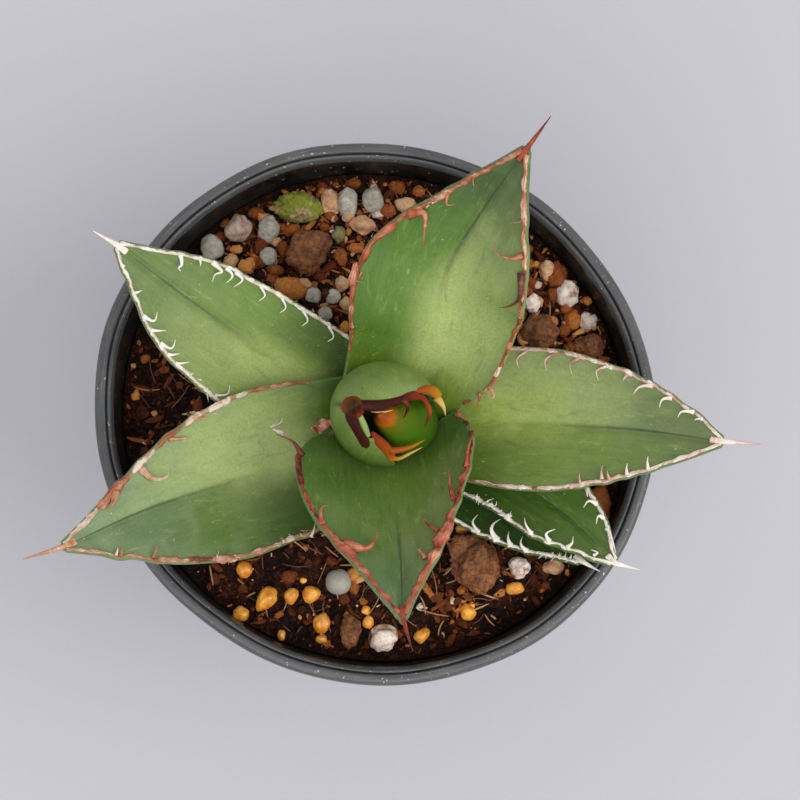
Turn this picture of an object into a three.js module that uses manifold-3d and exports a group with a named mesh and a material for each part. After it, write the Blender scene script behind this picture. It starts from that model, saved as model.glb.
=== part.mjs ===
// A young Agave oteroi in a round black nursery pot.
//
// Millimetres, +Z up. The origin is the middle of the pot's flat underside.
// Each leaf is one grown piece with its end spine. Older leaves are cut back where
// younger ones press on them, and every piece keeps a small gap to its neighbours.

import * as THREE from 'three';
import { mergeVertices } from 'three/addons/utils/BufferGeometryUtils.js';
import Module from 'manifold-3d';

// Driving dimensions
const potHeight = 88;
const rimRadius = 52.5;
const rimSqueeze = 0.047; // how much the soft rim is pressed out of round
const rimLongAxis = THREE.MathUtils.degToRad(-25);
const baseRadius = 38;
const floorThickness = 1.8;
const wallThickness = 1.2;
const skirtDepth = 10;
const drainHoles = { count: 8, radius: 3.5, circle: 26 };
const soilRimLevel = 79.5;
const soilMiddleLevel = 83;
const seatGap = 0.3;
const cutGap = 0.45; // vertex offset that leaves at least seatGap between faces
const crown = { x: 2.5, y: -3.9 };
const stemRadius = 8;
const stemTop = 97;
const turns = 48; // segments round the pot and the soil

const wasm = await Module();
wasm.setup();

// Helpers for closed meshes and solids

function closedGeometry(positions, triangles) {
  const geometry = new THREE.BufferGeometry();
  geometry.setAttribute('position', new THREE.Float32BufferAttribute(positions, 3));
  geometry.setIndex(triangles);
  return geometry;
}

function weld(geometry) {
  const bare = geometry.clone();
  bare.deleteAttribute('normal');
  bare.deleteAttribute('uv');
  return mergeVertices(bare, 1e-4);
}

function toSolid(geometry) {
  const welded = weld(geometry);
  return new wasm.Manifold(new wasm.Mesh({
    numProp: 3,
    vertProperties: new Float32Array(welded.attributes.position.array),
    triVerts: new Uint32Array(welded.index.array),
  }));
}

function toGeometry(solid) {
  const { vertProperties, triVerts } = solid.getMesh();
  return closedGeometry(Array.from(vertProperties), Array.from(triVerts));
}

// The same shape with every vertex pushed outwards, used to cut room for a piece.
function grownSolid(geometry, distance = cutGap) {
  const grown = weld(geometry);
  grown.computeVertexNormals();
  const place = grown.attributes.position;
  const normal = grown.attributes.normal;
  for (let i = 0; i < place.count; i++) {
    place.setXYZ(
      i,
      place.getX(i) + distance * normal.getX(i),
      place.getY(i) + distance * normal.getY(i),
      place.getZ(i) + distance * normal.getZ(i),
    );
  }
  return toSolid(grown);
}

function cutAll(geometry, cutters) {
  let solid = toSolid(geometry);
  for (const cutter of cutters) solid = solid.subtract(cutter);
  return solid;
}

function largestBody(solid) {
  const bodies = solid.decompose();
  return bodies.reduce((best, body) => (body.volume() > best.volume() ? body : best));
}

// A closed slab between two grids of points with the same number of rows and columns.
function slabGeometry(upper, lower) {
  const rows = upper.length;
  const columns = upper[0].length;
  const positions = [...upper.flat(), ...lower.flat()].flatMap((p) => [p.x, p.y, p.z]);
  const triangles = [];
  const top = (row, column) => row * columns + column;
  const bottom = (row, column) => rows * columns + row * columns + column;
  const quad = (a, b, c, d) => triangles.push(a, b, c, a, c, d);
  for (let r = 0; r < rows - 1; r++) {
    for (let c = 0; c < columns - 1; c++) {
      quad(top(r, c), top(r + 1, c), top(r + 1, c + 1), top(r, c + 1));
      quad(bottom(r, c), bottom(r, c + 1), bottom(r + 1, c + 1), bottom(r + 1, c));
    }
    quad(top(r, 0), bottom(r, 0), bottom(r + 1, 0), top(r + 1, 0));
    quad(top(r, columns - 1), top(r + 1, columns - 1), bottom(r + 1, columns - 1), bottom(r, columns - 1));
  }
  for (let c = 0; c < columns - 1; c++) {
    quad(top(0, c), top(0, c + 1), bottom(0, c + 1), bottom(0, c));
    quad(top(rows - 1, c), bottom(rows - 1, c), bottom(rows - 1, c + 1), top(rows - 1, c + 1));
  }
  return closedGeometry(positions, triangles);
}

// Smooth curve through evenly spaced numbers
function blend(values, t) {
  const last = values.length - 1;
  const place = THREE.MathUtils.clamp(t, 0, 1) * last;
  const i = Math.min(Math.floor(place), last - 1);
  const u = place - i;
  const p1 = values[i];
  const p2 = values[i + 1];
  const p0 = i > 0 ? values[i - 1] : 2 * p1 - p2;
  const p3 = i + 2 <= last ? values[i + 2] : 2 * p2 - p1;
  const a = 2 * p1;
  const b = p2 - p0;
  const c = 2 * p0 - 5 * p1 + 4 * p2 - p3;
  const d = 3 * p1 - p0 - 3 * p2 + p3;
  return 0.5 * (a + u * (b + u * (c + u * d)));
}

function vectors(points) {
  return points.map(([x, y, z]) => new THREE.Vector3(x, y, z));
}

// Pot

// The rim is slightly oval; the stiff base stays round.
function squeezeOval(geometry) {
  const place = geometry.attributes.position;
  const c = Math.cos(rimLongAxis);
  const s = Math.sin(rimLongAxis);
  for (let i = 0; i < place.count; i++) {
    const x = place.getX(i);
    const y = place.getY(i);
    const along = x * c + y * s;
    const across = (y * c - x * s) * (1 - rimSqueeze * place.getZ(i) / potHeight);
    place.setXY(i, along * c - across * s, along * s + across * c);
  }
  return geometry;
}

function lathed(profile) {
  return squeezeOval(new THREE.LatheGeometry(
    profile.map(([r, z]) => new THREE.Vector2(r, z)),
    turns,
  ).rotateX(Math.PI / 2));
}

const wallTopRadius = rimRadius - 2.1;
const innerRadiusAt = (z) => THREE.MathUtils.lerp(
  baseRadius + 1 - wallThickness,
  wallTopRadius - wallThickness,
  z / potHeight,
);

function potSolid() {
  const underRim = potHeight - 2.2;
  const skirtEnd = potHeight - skirtDepth;
  const skirtInner = rimRadius - 1.3;
  const outer = [
    [0, 0],
    [baseRadius - 1.2, 0],
    [baseRadius, 0.6],
    [baseRadius + 0.6, 2],
    [wallTopRadius, underRim],
    [skirtInner, underRim],
    [skirtInner, skirtEnd],
    [rimRadius - 0.6, skirtEnd],
    [rimRadius - 0.1, skirtEnd + 1],
    [rimRadius, potHeight - 0.9],
    [rimRadius - 0.35, potHeight - 0.2],
    [rimRadius - 0.9, potHeight],
  ];
  const lip = [
    [rimRadius - 2.1, potHeight],
    [rimRadius - 2.3, potHeight - 0.5],
    [rimRadius - 2.5, potHeight - 0.3],
    [rimRadius - 3.4, potHeight - 1.6],
    [rimRadius - 3.6, potHeight - 3],
    [innerRadiusAt(potHeight - 5.4), potHeight - 5.4],
  ];
  const inner = [
    [innerRadiusAt(floorThickness + 1.2), floorThickness + 1.2],
    [innerRadiusAt(0) - 1.4, floorThickness],
    [0, floorThickness],
  ];
  let solid = toSolid(lathed([...outer, ...lip, ...inner]));
  for (let i = 0; i < drainHoles.count; i++) {
    const angle = (i + 0.5) * 2 * Math.PI / drainHoles.count;
    const hole = new THREE.CylinderGeometry(drainHoles.radius, drainHoles.radius, 3 * floorThickness, 16)
      .rotateX(Math.PI / 2)
      .translate(drainHoles.circle * Math.cos(angle), drainHoles.circle * Math.sin(angle), 0);
    solid = solid.subtract(toSolid(hole));
  }
  return solid;
}

// Soil

function soilLevel(x, y) {
  const reach = Math.min(Math.hypot(x, y) / (rimRadius - 6), 1);
  return THREE.MathUtils.lerp(soilMiddleLevel, soilRimLevel, reach * reach);
}

function soilGeometry() {
  const bottom = floorThickness + seatGap;
  const edge = (z) => innerRadiusAt(z) - seatGap;
  const rings = [0.85, 0.68, 0.45];
  const topRadius = edge(soilRimLevel);
  const profile = [
    [0, bottom],
    [innerRadiusAt(0) - 2.2, bottom],
    [edge(bottom + 1.6), bottom + 1.6],
    [topRadius, soilRimLevel],
    ...rings.map((k) => [topRadius * k, soilLevel(topRadius * k, 0)]),
    [0, soilMiddleLevel],
  ];
  return lathed(profile);
}

// Stem: the short crown and its rooted end

function stemGeometry() {
  const profile = [
    [0, 58],
    [2.5, 59],
    [4.5, 64],
    [6, 72],
    [stemRadius - 0.6, 82],
    [stemRadius, 90],
    [stemRadius - 0.5, stemTop - 1],
    [stemRadius - 1.5, stemTop],
    [0, stemTop],
  ];
  return new THREE.LatheGeometry(profile.map(([r, z]) => new THREE.Vector2(r, z)), 20)
    .rotateX(Math.PI / 2)
    .translate(crown.x, crown.y, 0);
}

// Leaves, from the youngest and highest to the oldest and lowest.
// midline: points from the crown to the base of the end spine
// left, right: half widths at eighths of the midline, seen from above, looking to the tip
// cup: how far the margins rise, as a part of the half width, at the base, middle and tip
// thick: thickness over the midrib at the base, middle and tip

const leaves = {
  leaf_south: {
    midline: [[3, -6.7, 98], [3.5, -15.2, 104.5], [4, -23.2, 112.5], [4.5, -31.2, 121.5], [4.5, -38.7, 131]],
    spineTip: [6.2, -45.1, 135],
    left: [12, 14.5, 14, 12.5, 10.5, 8.5, 5.5, 3],
    right: [13, 16, 17, 17, 15.5, 12, 8.5, 5],
    cup: [0.6, 0.4, 0.2],
    thick: [6.5, 5.2, 2.6],
  },
  leaf_north: {
    midline: [[4.5, -1.2, 96], [9.5, 10.3, 102.5], [12.5, 21.8, 112], [18.5, 30.8, 122.5], [25, 38.3, 134]],
    spineTip: [29.1, 43, 140],
    left: [11, 12.5, 14, 15.3, 14.6, 10.5, 6.8, 3.8],
    right: [9, 10.5, 13.6, 14.8, 15.8, 14.9, 10.7, 6],
    cup: [0.5, 0.3, 0.15],
    thick: [6.5, 5.5, 2.6],
  },
  leaf_southwest: {
    midline: [[0, -4.7, 91], [-14, -10.2, 96], [-28, -15.2, 102], [-41, -20.2, 108.5], [-53.5, -26.7, 115]],
    spineTip: [-60.4, -29.1, 117],
    left: [9, 11.5, 13.3, 14, 14.3, 12.8, 10.5, 6],
    right: [11, 12.5, 14.2, 14.6, 13.2, 10.7, 7, 3.8],
    cup: [0.4, 0.25, 0.15],
    thick: [6.5, 5.5, 2.6],
  },
  leaf_east: {
    midline: [[6, -3.7, 91], [20.5, -2.7, 95.5], [34, -4.2, 101], [47.5, -5.7, 106.5], [60.5, -8.2, 112]],
    spineTip: [67.2, -9, 114],
    left: [8.5, 11, 12.7, 13.2, 13.1, 11.4, 8.7, 5.2],
    right: [8.5, 10.5, 12.2, 12.9, 12.3, 10.4, 8.3, 5.2],
    cup: [0.4, 0.25, 0.15],
    thick: [6.2, 5.2, 2.4],
  },
  leaf_northwest: {
    midline: [[0.5, -2.2, 89], [-11.5, 5.3, 94], [-23.5, 11.8, 99.5], [-35, 19.3, 105], [-45.5, 26.8, 110]],
    spineTip: [-49.8, 29.2, 111],
    left: [8, 10.5, 12.3, 13.2, 12.8, 11.4, 9.2, 5.2],
    right: [8, 9.5, 10, 10.2, 10.2, 9.3, 7.4, 4.4],
    cup: [0.35, 0.22, 0.12],
    thick: [5.8, 4.8, 2.4],
  },
  leaf_southeast: {
    midline: [[5.5, -5.2, 86.5], [16.5, -9.2, 90], [26, -14.2, 93.5], [35, -20.7, 97.5], [42.5, -28.7, 101]],
    spineTip: [47, -30.2, 102],
    left: [7.5, 9, 10.3, 10.6, 9.6, 8, 6, 3.8],
    right: [6.5, 7, 6.8, 6.6, 6.8, 7.1, 6.2, 3.9],
    cup: [0.35, 0.22, 0.12],
    thick: [5, 4.4, 2.4],
  },
  leaf_southeast_lower: {
    midline: [[5, -6.7, 84], [14.5, -12.7, 86], [23.5, -18.2, 88.5], [31, -23.5, 91.5], [37, -28, 95]],
    spineTip: [40.5, -30.2, 96],
    left: [6, 7, 7.5, 7.5, 7, 6, 4.8, 3],
    right: [5.5, 6.5, 7, 7, 6.5, 5.5, 4.2, 2.6],
    cup: [0.3, 0.2, 0.1],
    thick: [4.2, 3.6, 2],
  },
};

const spineRadius = 1.1;
const marginThickness = 1.3;
const leafRows = 10;
const leafColumns = [-1, -0.86, -0.55, -0.2, 0.2, 0.55, 0.86, 1];

// One row across a leaf: points of its upper and lower faces.
function leafRow(leaf, curve, t) {
  const middle = curve.getPoint(t);
  const ahead = curve.getTangent(t);
  const side = new THREE.Vector3(0, 0, 1).cross(ahead).normalize();
  const normal = ahead.clone().cross(side);
  const left = blend([...leaf.left, spineRadius], t);
  const right = blend([...leaf.right, spineRadius], t);
  const cup = blend(leaf.cup, t);
  const thick = blend(leaf.thick, t);
  const at = (across, height) => middle.clone()
    .addScaledVector(side, across)
    .addScaledVector(normal, height);
  const upper = [];
  const lower = [];
  for (const k of leafColumns) {
    const across = k * (k > 0 ? left : right);
    const rise = cup * Math.abs(across) * Math.abs(k) ** 0.6;
    const depth = marginThickness + (thick - marginThickness) * Math.sqrt(1 - k * k);
    upper.push(at(across, rise));
    lower.push(at(across, rise - depth));
  }
  return { upper, lower };
}

function spineRow(start, end, radius, k) {
  const ahead = end.clone().sub(start);
  const middle = start.clone().addScaledVector(ahead, k);
  ahead.normalize();
  const side = new THREE.Vector3(0, 0, 1).cross(ahead).normalize();
  const normal = ahead.clone().cross(side);
  const at = (across, height) => middle.clone()
    .addScaledVector(side, across * radius)
    .addScaledVector(normal, height * radius);
  const round = (column) => 0.15 + 0.85 * Math.sqrt(1 - column * column);
  return {
    upper: leafColumns.map((column) => at(column, round(column))),
    lower: leafColumns.map((column) => at(column, -round(column))),
  };
}

function leafGeometry(leaf) {
  const curve = new THREE.CatmullRomCurve3(vectors(leaf.midline), false, 'catmullrom', 0.5);
  const rows = [];
  for (let i = 0; i < leafRows; i++) rows.push(leafRow(leaf, curve, i / leafRows));
  const start = curve.getPoint(1);
  const end = new THREE.Vector3(...leaf.spineTip);
  rows.push(spineRow(start, end, spineRadius, 0));
  rows.push(spineRow(start, end, spineRadius * 0.65, 0.4));
  rows.push(spineRow(start, end, spineRadius * 0.12, 1));
  return slabGeometry(rows.map((row) => row.upper), rows.map((row) => row.lower));
}

// The rolled young leaf in the middle. It stands up on the west side of the crown and
// curls round to both sides; its two margins meet at the spine.

const bud = {
  x: 1.4,
  y: -2.4,
  base: 97.5,
  radius: 9.1,
  wall: 2.6,
  // angle round the crown in degrees, then the margin's place from the bud's middle
  columns: [
    [20, 7.9, 2.2, 113],
    [56, 5.3, 3.1, 117],
    [92, 2.4, 1.5, 120.5],
    [129, -1.8, 0.9, 124],
    [165, -5.4, -0.2, 127.5],
    [194, -5.4, -3.2, 124],
    [222, -3.6, -6, 120],
    [251, 0.2, -6.7, 115.5],
    [280, 3, -7.4, 111],
  ],
  spineLength: 6,
};
const budSteps = 16;
const budLevels = 6;

function budOuterGeometry() {
  const outer = [];
  const inner = [];
  const track = (index, t) => blend(bud.columns.map((column) => column[index]), t);
  for (let i = 0; i <= budSteps; i++) {
    const t = i / budSteps;
    const angle = THREE.MathUtils.degToRad(track(0, t));
    const margin = new THREE.Vector3(bud.x + track(1, t), bud.y + track(2, t), track(3, t));
    const inward = new THREE.Vector3(-Math.cos(angle), -Math.sin(angle), 0);
    const foot = new THREE.Vector3(bud.x, bud.y, bud.base).addScaledVector(inward, -bud.radius);
    const outerColumn = [];
    const innerColumn = [];
    for (let j = 0; j <= budLevels; j++) {
      const swing = j / budLevels * Math.PI / 2;
      const point = new THREE.Vector3(
        THREE.MathUtils.lerp(margin.x, foot.x, Math.cos(swing)),
        THREE.MathUtils.lerp(margin.y, foot.y, Math.cos(swing)),
        THREE.MathUtils.lerp(foot.z, margin.z, Math.sin(swing)),
      );
      const wall = THREE.MathUtils.lerp(bud.wall, 1.4, j / budLevels);
      const lean = Math.sin(swing);
      outerColumn.push(point);
      innerColumn.push(point.clone()
        .addScaledVector(inward, wall * Math.sqrt(1 - lean * lean * 0.8))
        .add(new THREE.Vector3(0, 0, -wall * lean * 0.8)));
    }
    outer.push(outerColumn);
    inner.push(innerColumn);
  }
  return slabGeometry(outer, inner);
}

function budSpineSolid() {
  const [, x, y, z] = bud.columns[4];
  const start = new THREE.Vector3(bud.x + x, bud.y + y, z - 2.2);
  const cone = new THREE.CylinderGeometry(0.15, 1.4, bud.spineLength + 2.2, 10)
    .rotateX(Math.PI / 2)
    .translate(start.x, start.y, start.z + (bud.spineLength + 2.2) / 2);
  return toSolid(cone);
}

// The youngest leaf: a closed spindle that leans to the west, with its own spine.
function budInnerGeometry() {
  const base = 97.5;
  const tip = 123;
  const foot = { x: 6.3, y: -4.2 };
  const lean = { x: -4.2, y: -0.7 };
  const profile = [[0, base], [5, base], [5.6, 103], [5, 109], [3.6, 114], [2.1, 117.5], [1.1, 120.5], [0, tip]];
  const geometry = new THREE.LatheGeometry(profile.map(([r, z]) => new THREE.Vector2(r, z)), 16)
    .rotateX(Math.PI / 2);
  const place = geometry.attributes.position;
  for (let i = 0; i < place.count; i++) {
    const rise = Math.max((place.getZ(i) - base) / (tip - base), 0) ** 1.5;
    place.setX(i, place.getX(i) + foot.x + lean.x * rise);
    place.setY(i, place.getY(i) + foot.y + lean.y * rise);
  }
  return geometry;
}

// Lumps: a ball pushed in and out by a few slow waves, the same every time
function lumpGeometry(size, roughness, seed) {
  const geometry = weld(new THREE.IcosahedronGeometry(1, 1));
  const place = geometry.attributes.position;
  for (let i = 0; i < place.count; i++) {
    const p = new THREE.Vector3().fromBufferAttribute(place, i);
    const wave = Math.sin(3.1 * p.x + seed) + Math.sin(2.7 * p.y + 1.7 * seed) + Math.sin(3.5 * p.z + 2.3 * seed);
    p.multiplyScalar(1 + roughness * wave / 3);
    place.setXYZ(i, p.x * size[0], p.y * size[1], p.z * size[2]);
  }
  return geometry;
}

const pumice = { color: 0x96968c, lump: 0.1 };
const clay = { color: 0x7a4526, lump: 0.16 };
const perlite = { color: 0xdcd3c6, lump: 0.16 };
const grain = { color: 0xc98a35, lump: 0.08 };
const tan = { color: 0xc9a074, lump: 0.1 };

// name: kind, x, y, half sizes along x and y
const stones = {
  pumice_1: [pumice, -30.8, 31.7, 2.2, 2.6],
  pumice_2: [pumice, -20.1, 35.1, 2.2, 2.6],
  pumice_3: [pumice, -20, 29.9, 1.7, 2],
  pumice_4: [pumice, -5.1, 40.3, 2, 2.8],
  pumice_5: [pumice, -0.3, 40.9, 2.1, 2.5],
  pumice_6: [pumice, -11.6, 22.3, 1.6, 1.6],
  pumice_7: [pumice, -7.9, 22, 1.5, 1.6],
  pumice_8: [pumice, -9.3, 18.7, 1.4, 1.4],
  stained_pebble: [{ color: 0xb09080, lump: 0.12 }, -25.8, 35.3, 2.8, 3],
  mossy_stone: [{ color: 0x96963c, lump: 0.14 }, -14.8, 39.3, 4.8, 3.3],
  tan_pebble_1: [tan, -8.6, 40.5, 1.3, 2.4],
  tan_pebble_2: [tan, -2.3, 35.9, 2.7, 2.1],
  olive_pebble: [{ color: 0x8c8c4a, lump: 0.12 }, -6.8, 34.1, 1.4, 2],
  clay_lump_1: [clay, -12.6, 30.1, 4.7, 4.9],
  clay_lump_2: [clay, 31, 15.3, 3.9, 3.6],
  clay_lump_3: [clay, 40.3, 12.8, 3.3, 2.6],
  clay_lump_4: [clay, 18.4, -27.7, 5, 6.2],
  clay_lump_5: [clay, -4.7, -40.6, 2.2, 3.2],
  perlite_1: [perlite, 36.2, 23, 2.3, 2.8],
  perlite_2: [perlite, 40.2, 17.6, 1.9, 2],
  perlite_3: [perlite, 29.7, 20.9, 1.6, 1.8],
  perlite_4: [perlite, 26.9, -28.7, 2.1, 2.4],
  perlite_5: [perlite, 1.5, -41.8, 2.9, 2.9],
  grey_bead: [pumice, -6.8, -31.5, 2.4, 2.4],
  tan_pebble_3: [tan, 32.7, 27.5, 1.9, 2.1],
  tan_pebble_4: [tan, 33.4, -28.6, 2.2, 1.7],
  orange_grain_1: [grain, -20.3, -34.7, 2.3, 2.5],
  orange_grain_2: [grain, -15.5, -34, 1.4, 1.7],
  orange_grain_3: [grain, -11.8, -33.7, 1.8, 1.8],
  orange_grain_4: [grain, -9.9, -39, 1.6, 2.1],
  orange_grain_5: [grain, 8.8, -41.3, 1.7, 1.5],
  orange_grain_6: [grain, 17.2, -36.9, 1.6, 1.8],
};

function stoneGeometry([kind, x, y, halfX, halfY], index) {
  const halfZ = 0.42 * (halfX + halfY);
  return lumpGeometry([halfX, halfY, halfZ], kind.lump, 1 + 1.9 * index)
    .translate(x, y, soilLevel(x, y) + 0.35 * halfZ);
}

// A scrap of dry leaf caught between the bud and the southwest leaf
function flakeGeometry() {
  return lumpGeometry([2, 1.3, 0.9], 0.2, 4)
    .rotateZ(0.35)
    .translate(-9.4, -4, 96.6);
}

// Assembly

const plant = new THREE.Group();

function addPiece(name, solid, color, roughness) {
  const mesh = new THREE.Mesh(
    toGeometry(solid),
    new THREE.MeshStandardMaterial({ color, roughness, metalness: 0 }),
  );
  mesh.name = name;
  plant.add(mesh);
}

const stemShape = stemGeometry();
const innerShape = budInnerGeometry();
const outerShape = budOuterGeometry();
const cutters = [grownSolid(stemShape)];

addPiece('stem', toSolid(stemShape), 0x9aa070, 0.7);

addPiece('bud_inner_leaf', largestBody(cutAll(innerShape, cutters)), 0x6d9a35, 0.5);
cutters.push(grownSolid(innerShape));

const budSolid = toSolid(outerShape).add(budSpineSolid());
let budCut = budSolid;
for (const cutter of cutters) budCut = budCut.subtract(cutter);
addPiece('bud_outer_leaf', largestBody(budCut), 0x7fa36a, 0.5);
cutters.push(grownSolid(toGeometry(budSolid)));

const leafColors = {
  leaf_south: 0x6f9a55,
  leaf_north: 0x7fa45e,
  leaf_southwest: 0x79a055,
  leaf_east: 0x6b9550,
  leaf_northwest: 0x83a85c,
  leaf_southeast: 0x46702f,
  leaf_southeast_lower: 0x2c5232,
};
for (const [name, leaf] of Object.entries(leaves)) {
  const shape = leafGeometry(leaf);
  addPiece(name, largestBody(cutAll(shape, cutters)), leafColors[name], 0.5);
  cutters.push(grownSolid(shape));
}

const flakeShape = flakeGeometry();
addPiece('dry_flake', largestBody(cutAll(flakeShape, cutters)), 0x9c6b52, 0.9);

Object.entries(stones).forEach(([name, stone], index) => {
  const shape = stoneGeometry(stone, index);
  addPiece(name, largestBody(cutAll(shape, cutters)), stone[0].color, 0.85);
  cutters.push(grownSolid(shape));
});

addPiece('soil', largestBody(cutAll(soilGeometry(), cutters)), 0x2d1c12, 0.95);
addPiece('pot', potSolid(), 0x2b2c2e, 0.55);

export default plant;
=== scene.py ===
# %% [markdown]
# A young agave in its nursery pot
#
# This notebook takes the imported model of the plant, which gives every piece its place and size,
# and finishes it: fleshy leaves with corky margins and hooked teeth, gritty soil with pumice,
# clay and fertiliser grains, and a dusty black pot. Each step says what the thing is on the
# real plant, how it could be made, and why this way was chosen. All work is in the frame of
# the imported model: the origin is the middle of the pot's underside, and Z is up.

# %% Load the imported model
import math

import bmesh
import bpy
import numpy as np
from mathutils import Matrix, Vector, noise


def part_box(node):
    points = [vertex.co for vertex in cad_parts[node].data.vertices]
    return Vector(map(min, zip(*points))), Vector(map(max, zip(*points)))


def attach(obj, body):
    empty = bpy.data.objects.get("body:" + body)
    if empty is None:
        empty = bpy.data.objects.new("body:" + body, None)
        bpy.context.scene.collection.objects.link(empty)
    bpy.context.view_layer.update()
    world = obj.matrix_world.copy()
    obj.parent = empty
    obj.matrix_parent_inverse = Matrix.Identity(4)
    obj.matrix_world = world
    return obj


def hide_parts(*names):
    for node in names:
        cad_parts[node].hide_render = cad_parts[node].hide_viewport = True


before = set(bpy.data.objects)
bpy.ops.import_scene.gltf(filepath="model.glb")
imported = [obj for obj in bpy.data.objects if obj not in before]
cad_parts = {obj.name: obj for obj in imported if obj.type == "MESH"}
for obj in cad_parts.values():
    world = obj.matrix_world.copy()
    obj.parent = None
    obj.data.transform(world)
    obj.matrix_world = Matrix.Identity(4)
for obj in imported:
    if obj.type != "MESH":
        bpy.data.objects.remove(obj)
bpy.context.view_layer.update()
MM = 0.001
BODY = "root"

# %% [markdown]
# The camera
#
# The picture was taken from almost straight above, from about half a metre away, with the
# camera leaning 6.5 degrees towards the lower edge of the picture. The rim of the pot, which
# is 105 mm across, gives the scale, and the scale and the distance give the lens. The pot
# stands a little left of the middle of the picture, so the lens is shifted by that much and
# the camera isn't turned.

# %% Place the camera
PICTURE = 800.0
RIM_HEIGHT = 88.0
CAMERA_LEAN = math.radians(6.5)
CAMERA_DISTANCE = 450.0
PIXELS_PER_MM = 5.415
SENSOR = 36.0
rim_in_picture = (375.0, 409.8)

camera_data = bpy.data.cameras.new("camera")
camera = bpy.data.objects.new("camera", camera_data)
bpy.context.scene.collection.objects.link(camera)
bpy.context.scene.camera = camera
camera_back = Vector((0, -math.sin(CAMERA_LEAN), math.cos(CAMERA_LEAN)))
camera.location = (Vector((0, 0, RIM_HEIGHT)) + camera_back * CAMERA_DISTANCE) * MM
camera.rotation_euler = (-camera_back).to_track_quat("-Z", "Y").to_euler()
camera_data.sensor_width = SENSOR
camera_data.lens = PIXELS_PER_MM * CAMERA_DISTANCE * SENSOR / PICTURE
camera_data.shift_x = (PICTURE / 2 - rim_in_picture[0]) / PICTURE
camera_data.shift_y = (rim_in_picture[1] - PICTURE / 2) / PICTURE
camera_data.clip_start = 0.01
camera_data.clip_end = 20
print("lens in mm:", round(camera_data.lens, 1))

# %% [markdown]
# Light and floor
#
# The light in the picture is soft: a broad source from the lower right makes the wide, faint
# shadow on the left of the pot, and the pale room fills the rest. A large disk of light from
# the right, another from the front and a pale world do the same. A smaller light could give
# the same direction, but its shadows would be too hard for a picture in which no leaf has a
# sharp shadow.

# %% Light the scene
def colour(red, green, blue):
    """A colour given in picture values from 0 to 255, as the linear colour that shaders use."""
    parts = [value / 255 for value in (red, green, blue)]
    linear = [p / 12.92 if p <= 0.04045 else ((p + 0.055) / 1.055) ** 2.4 for p in parts]
    return (*linear, 1.0)


def area_light(name, place, size, power, tint):
    """A disk of light that looks at the pot, with its size in metres and its power in watts."""
    data = bpy.data.lights.new(name, "AREA")
    data.shape = "DISK"
    data.size = size
    data.energy = power
    data.color = tint
    lamp = bpy.data.objects.new(name, data)
    lamp.location = place
    lamp.rotation_euler = (-Vector(place)).to_track_quat("-Z", "Y").to_euler()
    bpy.context.scene.collection.objects.link(lamp)


area_light("key", (1.0, -0.3, 1.3), 1.2, 12.6, (1.0, 0.985, 0.96))
area_light("fill", (-0.2, -0.8, 1.65), 1.4, 11, (1.0, 0.99, 0.97))

world = bpy.data.worlds.new("room")
world.use_nodes = True
world.node_tree.nodes["Background"].inputs["Color"].default_value = (0.9, 0.9, 0.93, 1)
world.node_tree.nodes["Background"].inputs["Strength"].default_value = 0.82
bpy.context.scene.world = world
bpy.context.scene.view_settings.view_transform = "Standard"

# %% [markdown]
# Short names for shader nodes
#
# A material here is a small program of nodes. Written out in full, each node takes five
# lines, so a few helpers with plain names keep the materials below readable. Every helper
# takes the node tree first, and returns the output socket that the next node reads.

# %% Helpers for nodes
def add_node(tree, kind, **settings):
    made = tree.nodes.new("ShaderNode" + kind)
    for name, value in settings.items():
        setattr(made, name, value)
    return made


def feed(tree, socket, source):
    """Gives a socket a plain value or another node's output."""
    if isinstance(source, bpy.types.NodeSocket):
        tree.links.new(source, socket)
    else:
        socket.default_value = source


def worked_out(tree, operation, first, second=0.0):
    made = add_node(tree, "Math", operation=operation)
    feed(tree, made.inputs[0], first)
    feed(tree, made.inputs[1], second)
    return made.outputs[0]


def times(tree, first, second):
    return worked_out(tree, "MULTIPLY", first, second)


def plus(tree, first, second):
    return worked_out(tree, "ADD", first, second)


def between(tree, value, low, high, to_low=0.0, to_high=1.0):
    """Maps a value from low..high to to_low..to_high with soft ends."""
    made = add_node(tree, "MapRange", interpolation_type="SMOOTHSTEP")
    for index, number in enumerate((value, low, high, to_low, to_high)):
        feed(tree, made.inputs[index], number)
    return made.outputs[0]


def mixed(tree, factor, first, second):
    """The first colour where factor is 0 and the second where it is 1."""
    made = add_node(tree, "Mix", data_type="RGBA")
    feed(tree, made.inputs[0], factor)
    feed(tree, made.inputs[6], first)
    feed(tree, made.inputs[7], second)
    return made.outputs[2]


def noisy(tree, place, scale, detail=3.0, roughness=0.55, distortion=0.0):
    made = add_node(tree, "TexNoise")
    feed(tree, made.inputs["Vector"], place)
    feed(tree, made.inputs["Scale"], scale)
    made.inputs["Detail"].default_value = detail
    made.inputs["Roughness"].default_value = roughness
    made.inputs["Distortion"].default_value = distortion
    return made.outputs[0]


def stored(tree, name, output="Fac"):
    """A value that the mesh keeps at each of its points."""
    return add_node(tree, "Attribute", attribute_name=name).outputs[output]


def place_of(tree):
    """Where a point lies in the object, in metres."""
    return add_node(tree, "TexCoord").outputs["Object"]


def scaled(tree, place, x, y, z):
    """Stretches the place that a texture reads, so that the texture is drawn out."""
    made = add_node(tree, "VectorMath", operation="MULTIPLY")
    feed(tree, made.inputs[0], place)
    made.inputs[1].default_value = (x, y, z)
    return made.outputs[0]


def colour_ramp(tree, factor, stops):
    """Blends between stops of (position, red, green, blue)."""
    made = add_node(tree, "ValToRGB")
    ramp = made.color_ramp
    while len(ramp.elements) < len(stops):
        ramp.elements.new(0.5)
    for element, (position, *shade) in zip(ramp.elements, stops):
        element.position = position
        element.color = colour(*shade)
    feed(tree, made.inputs[0], factor)
    return made.outputs[0]


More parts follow.
